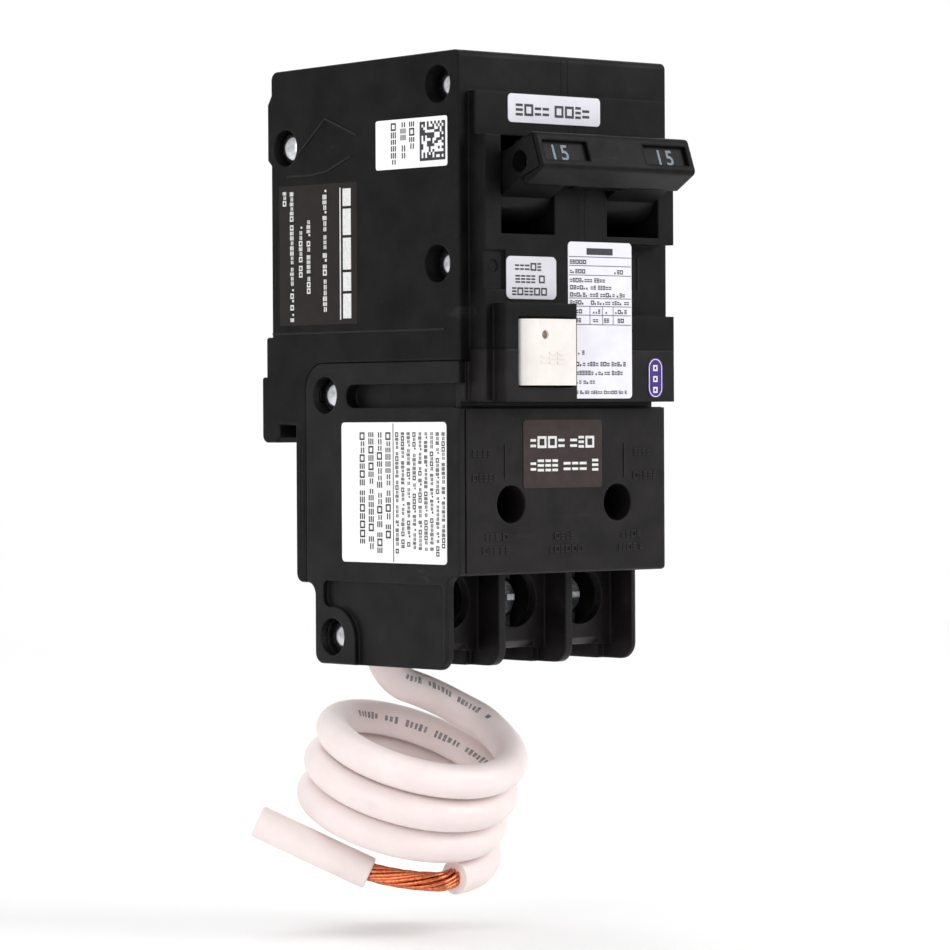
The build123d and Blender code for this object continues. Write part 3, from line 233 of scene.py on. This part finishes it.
# CAD nodes by look: material, record slot, and the bevel in millimetres (0 for none)
LOOKS = [
    (CASE_BLACK, "case_plastic", 0, ["case_left", "case_right", "case_centre_plate"]),
    (BLACK, "case_plastic", 0, ["module_side_cover", "pigtail_bushing"]),
    (FRONT_BLACK, "case_plastic", 0, ["module_base", "terminal_block"]),
    (HANDLE_BLACK, "handle_plastic", 0, ["handle_tie_bar"]),
    (HANDLE_CORE, "handle_plastic", 0.3, ["handle_left", "handle_right"]),
    (STEEL, "steel", 0, ["handle_tie_pin", "jaw_springs", "main_spring_left", "main_spring_right",
                         "cradle_left", "cradle_right", "magnet_yoke_left", "magnet_yoke_right",
                         "armature_left", "armature_right", "arc_chute_left", "arc_chute_right",
                         "solenoid_plunger", "plunger_spring"]),
    (ZINC, "zinc", 0, ["lug_screws", "case_rivets"]),
    (COPPER, "copper", 0, ["line_jaw_left", "line_jaw_right", "contact_arm_left", "contact_arm_right",
                           "flexible_braids", "load_strap_left", "load_strap_right", "neutral_strap",
                           "test_spring"]),
    (WINDING, "copper", 0, ["solenoid_coil"]),
    (BIMETAL, "bimetal", 0, ["bimetal_left", "bimetal_right"]),
    (TIN, "lug_metal", 0.3, ["lug_left", "lug_centre", "lug_right"]),
    (BRASS, "brass", 0, ["pigtail_crimp"]),
    (GREY, "inner_plastic", 0, ["trip_bar", "trip_link"]),
    (BOARD, "board", 0, ["circuit_board"]),
    (PARTS, "components", 0, ["board_parts"]),
    (RING, "ring", 0, ["sense_ring"]),
    (CREAM, "button_plastic", 0.7, ["test_button"]),
    (PIPE, "light_pipe", 0, ["status_led"]),
    (LABEL, "white_label", 0, ["serial_label", "rating_label"]),
    (NOTICE, "white_label", 0, ["notice_label"]),
    (SIDE_LABEL, "white_label", 0, ["side_labels"]),
    (BROWN, "brown_label", 0, ["wiring_label"]),
    (PURPLE, "purple_label", 0, ["tag_label"]),
    (INSULATION, "insulation", 0.45, ["pigtail_slug"]),
]


def dress(piece, material):
    piece.data.materials.clear()
    piece.data.materials.append(material)


for look, record_slot, bevel, names in LOOKS:
    for node_name in names:
        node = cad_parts[node_name]
        dress(node, look)
        if bevel:
            weld = node.modifiers.new("weld", "WELD")
            weld.merge_threshold = WELD_REACH * MM
            edge = node.modifiers.new("bevel", "BEVEL")
            edge.width = bevel * MM
            edge.segments = 3
            edge.limit_method = "ANGLE"
            edge.angle_limit = math.radians(BEVEL_ANGLE)
            edge.harden_normals = True


# ---- pigtail ------------------------------------------------------------------------------------
CORD_D = 6.3
COIL_R = 16.8
COIL_PITCH = 6.6
COIL_CENTRE = Vector((-9.9, -20.5, -56.8))
COIL_LEAN = math.radians(23.7)
COIL_SIDE = math.radians(2.3)
COIL_UP = Vector((math.sin(COIL_SIDE), -math.sin(COIL_LEAN) * math.cos(COIL_SIDE),
                  math.cos(COIL_LEAN) * math.cos(COIL_SIDE)))
COIL_ACROSS = (Vector((1, 0, 0)) - COIL_UP * COIL_UP.x).normalized()
COIL_BACK = COIL_UP.cross(COIL_ACROSS)
LEAD = [(-14, -14, -38.6), (-14, -14, -41.4), (-14, -14, -44.2), (-10.2, -13.9, -48.0), (-4.6, -13.5, -49.6),
        (0.6, -13.4, -51.6), (4.6, -15.0, -53.9), (6.7, -18.4, -55.8)]
STEP = 15
FIRST_ANGLE = -15
LAST_ANGLE = -1166
WANDER = 0.35
DRIFT = 0.25


def on_coil(degrees, radius):
    """Point of the coil's helix: 0 is at its right, and it goes down as the angle falls."""
    turns = -degrees / 360
    angle = math.radians(degrees)
    out = COIL_ACROSS * math.cos(angle) + COIL_BACK * math.sin(angle)
    wander = WANDER * math.sin(angle * 0.61 + 0.8)
    sunk = COIL_UP * COIL_PITCH * turns
    return COIL_CENTRE + out * (radius + wander) - sunk + COIL_ACROSS * DRIFT * turns


def curve_piece(name, routes, diameter, material):
    """Tube along one open spline per route, in millimetres."""
    data = bpy.data.curves.new(name, "CURVE")
    data.dimensions = "3D"
    data.bevel_depth = diameter / 2 * MM
    data.bevel_resolution = 10 if len(routes) == 1 else 3
    data.resolution_u = 6
    data.use_fill_caps = True
    for route in routes:
        spline = data.splines.new("NURBS")
        spline.points.add(len(route) - 1)
        for point, place in zip(spline.points, route):
            point.co = (*(Vector(place) * MM), 1)
        spline.order_u = 3
        spline.use_endpoint_u = True
    piece = bpy.data.objects.new(name, data)
    bpy.context.scene.collection.objects.link(piece)
    dress(piece, material)
    return piece


def line_of(piece):
    """Points along a curve piece's own line, in millimetres."""
    depth = piece.data.bevel_depth
    piece.data.bevel_depth = 0
    piece.data.use_fill_caps = False
    mesh = bpy.data.meshes.new_from_object(piece)
    piece.data.bevel_depth = depth
    piece.data.use_fill_caps = True
    points = [vertex.co / MM for vertex in mesh.vertices]
    bpy.data.meshes.remove(mesh)
    return points


CONTROL_R = COIL_R / math.cos(math.radians(STEP / 2))
cord_route = [Vector(place) for place in LEAD]
cord_route += [on_coil(angle, CONTROL_R) for angle in range(FIRST_ANGLE, LAST_ANGLE, -STEP)]
cord_route.append(on_coil(LAST_ANGLE, COIL_R))
pigtail = curve_piece("pigtail", [cord_route], CORD_D, INSULATION)
cord_line = line_of(pigtail)


# bare strands: one in the middle, six round it and twelve round those, twisted
STRANDS = [(-6.4, -26.7, -82.9), (-9.0, -27.4, -83.4), (-14.2, -27.9, -83.9), (-20.4, -17.6, -82.6),
           (-27.4, -11.4, -78.1), (-34.4, -5.3, -73.7)]
STRAND_D = 0.74
STRAND_RINGS = ((0.0, 1), (0.74, 6), (1.46, 12))
LAY_LENGTH = 34.0


def twisted(core):
    """Routes of the nineteen strands round a core line."""
    routes = []
    for ring, count in STRAND_RINGS:
        for number in range(count):
            start = TAU * number / count + ring
            slack = chance.uniform(-0.12, 0.12)
            wave = chance.uniform(0, TAU)
            route = []
            gone = 0.0
            for before, here, after in zip([core[0], *core], core, [*core[1:], core[-1]]):
                along = (after - before).normalized()
                side = along.cross(Vector((0, 0, 1))).normalized()
                top = side.cross(along)
                gone += (here - before).length
                angle = start + TAU * gone / LAY_LENGTH + slack
                reach = ring * (1 + 0.06 * math.sin(wave + gone * 0.9))
                route.append(here + side * reach * math.cos(angle) + top * reach * math.sin(angle))
            routes.append(route)
    return routes


core_curve = curve_piece("strand core", [STRANDS], 0.1, STRAND)
core_line = line_of(core_curve)
bpy.data.objects.remove(core_curve)
strand_routes = twisted(core_line[::2] + [core_line[-1]])
strands = curve_piece("pigtail_strands_visual", strand_routes, STRAND_D, STRAND)


# ---- wound springs ------------------------------------------------------------------------------
SPRING_STEPS = 12
CLOSED_TURN = 0.8
MAIN_SPRING_HALF_L = 7.9
MAIN_SPRING_LEAN = Vector((0, 0.43, 0.9)).normalized()


def wound_spring(name, foot, top, radius, wire, turns):
    """Spring of round wire between two points, in millimetres, its end turns closed."""
    foot = Vector(foot)
    axis = Vector(top) - foot
    up = axis.normalized()
    across = Vector((1, 0, 0)).cross(up).normalized()
    other = up.cross(across)
    route = []
    count = int(turns * SPRING_STEPS)
    for step in range(count + 1):
        share = step / count
        rise = min(max((share * turns - CLOSED_TURN) / (turns - 2 * CLOSED_TURN), 0.0), 1.0)
        level = wire / 2 + rise * (axis.length - wire)
        angle = TAU * turns * share
        route.append(foot + up * level + (across * math.cos(angle) + other * math.sin(angle)) * radius)
    curve = curve_piece(name + "_curve", [route], wire, STEEL)
    curve.data.bevel_resolution = 3
    curve.data.resolution_u = 3
    spring = bpy.data.objects.new(name, bpy.data.meshes.new_from_object(curve))
    bpy.data.objects.remove(curve)
    bpy.context.scene.collection.objects.link(spring)
    dress(spring, STEEL)
    return spring


for side_name in ("left", "right"):
    low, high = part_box(f"main_spring_{side_name}")
    middle = (Vector(low) + Vector(high)) / 2 / MM
    reach = MAIN_SPRING_LEAN * MAIN_SPRING_HALF_L
    main = wound_spring(f"main_spring_coil_{side_name}", middle - reach, middle + reach,
                        radius=1.55, wire=0.55, turns=11)
    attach(main, "case")
    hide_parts(f"main_spring_{side_name}")

low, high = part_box("plunger_spring")
spring_x = (low[0] + high[0]) / 2 / MM
spring_y = (low[1] + high[1]) / 2 / MM
spring_foot = Vector((spring_x, spring_y, low[2] / MM))
spring_top = Vector((spring_x, spring_y, high[2] / MM))
return_spring = wound_spring("plunger_spring_coil", spring_foot, spring_top, radius=2.3, wire=0.45, turns=4.5)
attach(return_spring, "case")
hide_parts("plunger_spring")
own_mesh(return_spring)


# ---- flat marks ---------------------------------------------------------------------------------
LEFT_WALL_X = -25.4
BLOCK_Y = -48.5
SHOULDER_Y = -48.85
PANEL_Y = -50.7
FACE_Y = -53.2
BUTTON_Y = -58.0
STICKER = 0.12
INK_H = 0.03
TINT_H = 0.02
BORDER_W = 0.16
RELIEF_H = 0.16
NOTCH_RELIEF_H = 0.15
BUTTON_RELIEF_H = 0.14


def mesh_piece(name, vertices, faces, material):
    """New piece from vertices in metres and faces."""
    mesh = bpy.data.meshes.new(name)
    mesh.from_pydata(vertices, [], faces)
    mesh.update()
    piece = bpy.data.objects.new(name, mesh)
    bpy.context.scene.collection.objects.link(piece)
    dress(piece, material)
    return piece


def block_faces(base):
    """Faces of a block: four vertices of its foot and four of its top, from base on."""
    faces = []
    for corner in range(4):
        after = (corner + 1) % 4
        faces.append((base + corner, base + after, base + after + 4, base + corner + 4))
    faces.append((base + 4, base + 5, base + 6, base + 7))
    faces.append((base + 3, base + 2, base + 1, base))
    return faces


def boxes(name, place, rects, height, material, body="case"):
    """Thin boxes on a plane: place puts (u, v, height) in space, and each rect is (u0, v0, u1, v1)."""
    vertices = []
    faces = []
    for u0, v0, u1, v1 in rects:
        faces += block_faces(len(vertices))
        for level in (0.0, height):
            for u, v in ((u0, v0), (u1, v0), (u1, v1), (u0, v1)):
                vertices.append(Vector(place(u, v, level)) * MM)
    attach(mesh_piece(name, vertices, faces, material), body)


def front_at(level_y):
    return lambda u, v, height: (u, level_y - height, v)


def left_at(level_x):
    return lambda u, v, height: (level_x - height, u, v)


def glyph(kind, wide, tall, line):
    """Strokes of one made-up sign, as (u0, v0, u1, v1): two or three bars, a hollow box or a stub."""
    if kind == "box":
        wide = tall
        return [(0, 0, wide, line), (0, tall - line, wide, tall), (0, line, line, tall - line),
                (wide - line, line, wide, tall - line)]
    if kind == "stub":
        return [(0, 0, wide * 0.6, tall * 0.45)]
    rows = {"pair": (0.1, 0.7), "triple": (0.0, 0.5, 1.0)}[kind]
    return [(0, (tall - line) * row, wide, (tall - line) * row + line) for row in rows]


def dashes(u, v, length, size, upright=False):
    """A row of made-up signs in word-like groups, from (u, v), along u or, if upright, down v."""
    rects = []
    gone = 0.0
    left = chance.randint(3, 8)
    line = size * (0.16 if size > 1.6 else 0.19)
    while gone < length - size * 0.4:
        wide = size * chance.choice((0.46, 0.52, 0.58))
        tall = size * 0.74
        kind = chance.choice(("box", "pair", "triple", "triple", "pair", "stub" if size < 1.6 else "triple"))
        for u0, v0, u1, v1 in glyph(kind, wide, tall, line):
            if upright:
                rects.append((u + v0, v - gone - u1, u + v1, v - gone - u0))
            else:
                rects.append((u + gone + u0, v + v0, u + gone + u1, v + v1))
        gone += (tall if kind == "box" else wide) + size * 0.13
        left -= 1
        if left == 0:
            gone += size * 0.35
            left = chance.randint(2, 8)
    return rects


panel = front_at(PANEL_Y - STICKER)
face = front_at(FACE_Y - STICKER)
block = front_at(BLOCK_Y - STICKER)
side = left_at(LEFT_WALL_X - STICKER)
boxes("serial_print", panel, dashes(-13.5, 55.0, 18.4, 2.9), INK_H, INK)
notice = []
for u, v, length in ((-16.1, 27.25, 7.4), (-16.0, 25.05, 6.8), (-16.8, 22.85, 8.8)):
    notice += dashes(u, v, length, 1.9)
boxes("notice_print", face, notice, INK_H, INK)

rating = [(1.2, 30.4, 7.6, 31.6)]
for u, v, length, size in ((-2.9, 28.7, 4.8, 1.05), (-2.9, 27.0, 3.8, 1.05), (8.0, 27.0, 2.6, 1.05),
                           (-2.9, 25.4, 8.5, 1.05), (-2.9, 24.1, 10.5, 1.05), (-2.9, 22.8, 13.6, 1.05),
                           (-2.9, 21.4, 3.8, 1.05), (2.2, 21.4, 9.6, 1.05), (-2.9, 19.8, 2.6, 1.05),
                           (2.7, 19.8, 1.8, 1.05), (5.8, 19.8, 0.8, 1.05), (8.2, 19.8, 3.4, 1.05),
                           (-2.9, 18.2, 2.6, 1.05), (2.7, 18.2, 1.2, 1.05), (5.4, 18.2, 1.2, 1.05),
                           (8.8, 18.2, 1.2, 1.05), (-2.9, 12.4, 3.4, 1.0), (-2.9, 10.3, 13.6, 1.1),
                           (-2.9, 8.7, 13.0, 1.1), (-2.9, 7.1, 6.2, 1.1), (-2.9, 5.3, 14.0, 0.85)):
    rating += dashes(u, v, length, size)
for v in (29.95, 28.35, 26.65, 22.5, 21.05, 19.45, 17.75):
    rating.append((-3.1, v, 12.1, v + 0.12))
for u in (1.9, 5.0, 7.6):
    rating.append((u, 17.75, u + 0.12, 21.05))
boxes("rating_print", face, rating, INK_H, INK)

wiring = []
for v, length in ((-4.4, 15.2), (-8.6, 16.4)):
    wiring += dashes(-8.4, v, length, 2.9)
boxes("wiring_print", block, wiring, INK_H, WHITE_INK)
tag = []
for v in (9.5, 7.5, 5.5):
    tag += [(17.6 + u0, v + v0, 17.6 + u1, v + v1) for u0, v0, u1, v1 in glyph("box", 1.15, 1.1, 0.3)]
boxes("tag_print", face, tag, INK_H, WHITE_INK)


def capsule(reach_u, reach_v, steps=10):
    """Outline of an upright slot of those half sizes, round its own middle."""
    points = []
    for middle, start in ((reach_v - reach_u, 0.0), (reach_u - reach_v, math.pi)):
        for step in range(steps + 1):
            angle = start + math.pi * step / steps
            points.append((reach_u * math.cos(angle), middle + reach_u * math.sin(angle)))
    return points


def tag_border():
    """Thin white line just inside the edge of the purple tag."""
    low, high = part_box("tag_label")
    middle = (Vector(low) + Vector(high)) / 2 / MM
    half_u = (high[0] - low[0]) / 2 / MM
    half_v = (high[2] - low[2]) / 2 / MM
    outer = capsule(half_u - BORDER_W, half_v - BORDER_W)
    inner = capsule(half_u - 2 * BORDER_W, half_v - 2 * BORDER_W)
    count = len(outer)
    vertices = []
    for level in (0.0, INK_H):
        for loop in (outer, inner):
            vertices += [Vector((middle.x + u, low[1] / MM - level, middle.z + v)) * MM for u, v in loop]
    faces = []
    for n in range(count):
        after = (n + 1) % count
        faces.append((2 * count + n, 3 * count + n, 3 * count + after, 2 * count + after))
        faces.append((n, 2 * count + n, 2 * count + after, after))
        faces.append((count + n, count + after, 3 * count + after, 3 * count + n))
        faces.append((n, after, count + after, count + n))
    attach(mesh_piece("tag_border", vertices, faces, WHITE_INK), "case")


tag_border()

# side labels, their rows running down
rows = []
for u, size in ((-29.9, 1.9), (-27.5, 1.9), (-25.1, 1.9), (-22.6, 1.9)):
    rows += dashes(u, -1.4, 21.8 if u > -29 else 19.0, size, True)
for u in (-44.6, -43.0, -41.4, -39.8, -38.2, -36.6, -35.0, -33.4, -31.8):
    rows += dashes(u - 0.3, -1.4, chance.uniform(20.0, 22.4), 1.15, True)
rows.append((-30.75, -24.8, -30.55, 0.2))
boxes("compliance_print", side, rows, INK_H, INK)

code = []
for u, length in ((-31.9, 7.6), (-34.6, 6.4), (-37.0, 5.6)):
    code += dashes(u, 54.2, length, 1.9, True)
# random squares with a border on three sides
CODE_CELLS = 14
CODE_CELL = 0.5
for column in range(CODE_CELLS):
    for row in range(CODE_CELLS):
        if chance.random() < 0.5 or column in (0, CODE_CELLS - 1) or row == 0:
            u = -45.5 + column * CODE_CELL
            v = 47.0 + row * CODE_CELL
            code.append((u, v, u + CODE_CELL, v + CODE_CELL))
boxes("code_print", side, code, INK_H, INK)

# white print on a slightly brown panel of the left side
boxes("side_tint", left_at(LEFT_WALL_X), [(-20.6, 18.4, 2.0, 44.2)], TINT_H, TINT)
printed = []
for u, top, length, size in ((-11.9, 43.1, 23.6, 1.5), (-7.1, 37.7, 13.2, 1.35), (-4.8, 36.6, 9.6, 1.35),
                             (-2.2, 43.1, 24.0, 1.35), (-0.1, 43.2, 2.9, 1.35)):
    printed += dashes(u, top, length, size, True)
for top, bottom in ((43.1, 39.9), (39.4, 34.6), (34.1, 28.3), (27.8, 24.4), (23.9, 19.4)):
    printed.append((-18.9, bottom, -16.6, top))
printed.append((-16.0, 19.2, -15.7, 43.3))
boxes("side_print", left_at(LEFT_WALL_X - TINT_H), printed, INK_H, WHITE_INK)

# marks raised in the black front: no letters, only rows of small blocks
raised = []
for u, v, length in ((-22.2, -5.9, 5.4), (-22.2, -10.2, 6.0), (17.2, -5.9, 5.4), (16.9, -10.2, 6.2),
                     (-19.2, -20.9, 5.2), (-19.9, -23.3, 6.6), (-2.6, -20.9, 5.4), (-3.8, -23.3, 7.6),
                     (13.9, -20.9, 5.2), (13.2, -23.3, 6.6)):
    raised += dashes(u, v, length, 1.75)
for u in (-14.55, 14.6):
    raised.append((u, -9.8, u + 0.25, -3.6))
boxes("front_relief", front_at(BLOCK_Y), raised, RELIEF_H, PRINT_BLACK)
notch = dashes(14.4, 22.0, 3.4, 1.3) + [(14.4, 24.4, 14.7, 30.4), (17.9, 24.4, 18.2, 30.4)]
boxes("notch_relief", front_at(SHOULDER_Y), notch, NOTCH_RELIEF_H, PRINT_BLACK)
# painted shadow: a thin near-black strip in the joint between the module and its side cover, standing in for
# the shade in the gap
boxes("cover_seam_shadow", front_at(BLOCK_Y), [(-23.93, -26.6, -23.67, 2.6)], TINT_H, SEAM_SHADOW)
button_marks = dashes(-14.2, 10.6, 6.8, 2.9)
boxes("button_relief", front_at(BUTTON_Y), button_marks, BUTTON_RELIEF_H, CREAM, "button")


RIB_W = 0.35
RIB_H = 0.12
RIBS = [((-11.3, 56.2), (-20.9, 52.6)), ((-12.1, 46.5), (-19.0, 48.9)), ((-0.4, 46.0), (-7.9, 46.0)),
        ((-7.9, 46.0), (-12.1, 46.5)), ((-11.5, 56.0), (-3.3, 49.7)), ((-45.0, 16.9), (4.1, 16.9))]


def side_ribs():
    """Low straight ribs on the left wall, between pairs of (y, z) points."""
    vertices = []
    faces = []
    for (y0, z0), (y1, z1) in RIBS:
        across = Vector((-(z1 - z0), y1 - y0)).normalized() * RIB_W / 2
        faces += block_faces(len(vertices))
        for level in (0.0, RIB_H):
            for y, z, way in ((y0, z0, -1), (y1, z1, -1), (y1, z1, 1), (y0, z0, 1)):
                vertices.append(Vector((LEFT_WALL_X - level, y + across.x * way, z + across.y * way)) * MM)
    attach(mesh_piece("side_ribs", vertices, faces, PRINT_BLACK), "case")


side_ribs()


# ---- numerals on the handles --------------------------------------------------------------------
HANDLE_PIVOT = Vector((0, -46.5, 42.5))
LEVER_TILT = 20
WINDOW_REACH = 16.44
NUMERAL_DROP = 0.5
NUMERAL_SIZE = 4.1


def numerals(x):
    """The 15 on a pole's handle, seen through the tie bar's window."""
    tilt = math.radians(LEVER_TILT)
    out = Vector((0, -math.cos(tilt), math.sin(tilt)))
    up = Vector((0, math.sin(tilt), math.cos(tilt)))
    data = bpy.data.curves.new("numerals", "FONT")
    data.body = "15"
    data.size = NUMERAL_SIZE * MM
    data.offset = 0.05 * MM
    data.extrude = 0.02 * MM
    data.align_x = "CENTER"
    data.align_y = "CENTER"
    data.space_character = 1.25
    piece = bpy.data.objects.new("numerals", data)
    across = Vector((1, 0, 0))
    place = HANDLE_PIVOT + across * x + out * WINDOW_REACH - up * NUMERAL_DROP
    turn = Matrix((across, up, out)).transposed().to_4x4()
    piece.matrix_world = Matrix.Translation(place * MM) @ turn
    bpy.context.scene.collection.objects.link(piece)
    dress(piece, BLUE_INK)
    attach(piece, "handle")


numerals(-13.3)
numerals(12.3)


# ---- faint print along the pigtail --------------------------------------------------------------
PATCH_ROWS = 3
PATCH_COLUMNS = 4
PRINT_LIFT = 0.02
PRINT_GAP = 0.45
WORD_GAP = 1.6
# where each stretch of print starts and ends along the cord, and the way that it faces
PRINTED = [(9.0, 33.0, Vector((-0.5, -0.8, 0.5))), (106.0, 150.0, Vector((-0.64, -0.76, 0.1)))]


def cord_print():
    """Small patches that hug the cord, in groups, like a worn printed legend."""
    vertices = []
    faces = []
    gone = 0.0
    run = []
    for before, here in zip(cord_line, cord_line[1:]):
        run.append((gone, before, (here - before).normalized()))
        gone += (here - before).length
    run.append((gone, cord_line[-1], run[-1][2]))

    def at(distance):
        for (s0, p0, d0), (s1, p1, _) in zip(run, run[1:]):
            if s0 <= distance <= s1:
                return p0 + (p1 - p0) * (distance - s0) / max(s1 - s0, 1e-6), d0
        return run[-1][1], run[-1][2]

    def patch(start, end, half_angle, facing):
        base = len(vertices)
        radius = CORD_D / 2 + PRINT_LIFT
        for step in range(PATCH_ROWS + 1):
            centre, along = at(start + (end - start) * step / PATCH_ROWS)
            side_way = (facing - along * facing.dot(along)).normalized()
            other = along.cross(side_way)
            for part in range(PATCH_COLUMNS + 1):
                angle = half_angle * (2 * part / PATCH_COLUMNS - 1)
                out = side_way * math.cos(angle) + other * math.sin(angle)
                vertices.append((centre + out * radius) * MM)
        across = PATCH_COLUMNS + 1
        for step in range(PATCH_ROWS):
            for part in range(PATCH_COLUMNS):
                corner = base + step * across + part
                faces.append((corner, corner + 1, corner + across + 1, corner + across))

    for first, last, facing in PRINTED:
        place = first
        count = chance.randint(3, 6)
        while place < last:
            wide = chance.choice((0.6, 0.75, 0.9))
            tall = chance.choice((0.15, 0.18, 0.21))
            patch(place, place + wide, tall, facing)
            place += wide + PRINT_GAP
            count -= 1
            if count == 0:
                place += WORD_GAP
                count = chance.randint(2, 6)
    return mesh_piece("pigtail_print", vertices, faces, FAINT_INK)


legend = cord_print()

for piece in (pigtail, strands, legend):
    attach(piece, "case")
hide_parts("pigtail_lead", "pigtail_coil", "pigtail_tail")
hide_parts("pigtail_strands")


# ---- floor and light ----------------------------------------------------------------------------
FLOOR_Z = -0.094
FLOOR_REACH = 0.9
CURVE_R = 0.6
CURVE_STEPS = 12
WORLD_LIGHT = 0.72


def sweep():
    """Pale floor, in metres, that curves up into a wall behind the object."""
    profile = [(-2.0, 0.0), (FLOOR_REACH, 0.0)]
    for step in range(1, CURVE_STEPS + 1):
        bend = math.pi / 2 * step / CURVE_STEPS
        profile.append((FLOOR_REACH + CURVE_R * math.sin(bend), CURVE_R - CURVE_R * math.cos(bend)))
    profile.append((FLOOR_REACH + CURVE_R, 3.0))
    ahead = Vector((0.658, 0.7529, 0)).normalized()
    across = Vector((ahead.y, -ahead.x, 0))
    vertices = []
    for along, rise in profile:
        for way in (-2.5, 2.5):
            vertices.append(ahead * along + across * way + Vector((0, 0, rise + FLOOR_Z)))
    faces = [(2 * n, 2 * n + 1, 2 * n + 3, 2 * n + 2) for n in range(len(profile) - 1)]
    mesh = bpy.data.meshes.new("floor")
    mesh.from_pydata(vertices, [], faces)
    mesh.update()
    for polygon in mesh.polygons:
        polygon.use_smooth = True
    floor = bpy.data.objects.new("floor", mesh)
    pale = surface("floor", (0.90, 0.90, 0.90), (0.93, 0.93, 0.93), (0.6, 0.7), grain=3, bump=0.0)
    floor.data.materials.append(pale)
    bpy.context.scene.collection.objects.link(floor)
    floor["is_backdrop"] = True


def softbox(name, place, aim, size, power):
    """White area light at place that shines towards aim."""
    data = bpy.data.lights.new(name, "AREA")
    data.shape = "RECTANGLE"
    data.size = size[0]
    data.size_y = size[1]
    data.energy = power
    lamp = bpy.data.objects.new(name, data)
    lamp.location = place
    lamp.rotation_euler = (Vector(aim) - Vector(place)).to_track_quat("-Z", "Y").to_euler()
    bpy.context.scene.collection.objects.link(lamp)


sweep()
softbox("key", (0.55, -0.85, 0.55), (0, -0.02, 0), (0.7, 0.7), 5.6)
softbox("fill", (-0.95, -0.25, 0.25), (0, 0, 0), (0.8, 0.8), 3.4)
softbox("top", (-0.1, 0.05, 1.1), (0, 0, 0), (0.8, 0.8), 2.1)
softbox("backdrop", (0.25, 0.3, 1.2), (0.99, 1.13, 0.25), (0.9, 0.5), 4.0)
world = bpy.data.worlds.new("studio")
world.use_nodes = True
world.node_tree.nodes["Background"].inputs["Color"].default_value = (1, 1, 1, 1)
world.node_tree.nodes["Background"].inputs["Strength"].default_value = WORLD_LIGHT
bpy.context.scene.world = world
bpy.context.scene.view_settings.view_transform = "Standard"

low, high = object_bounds()
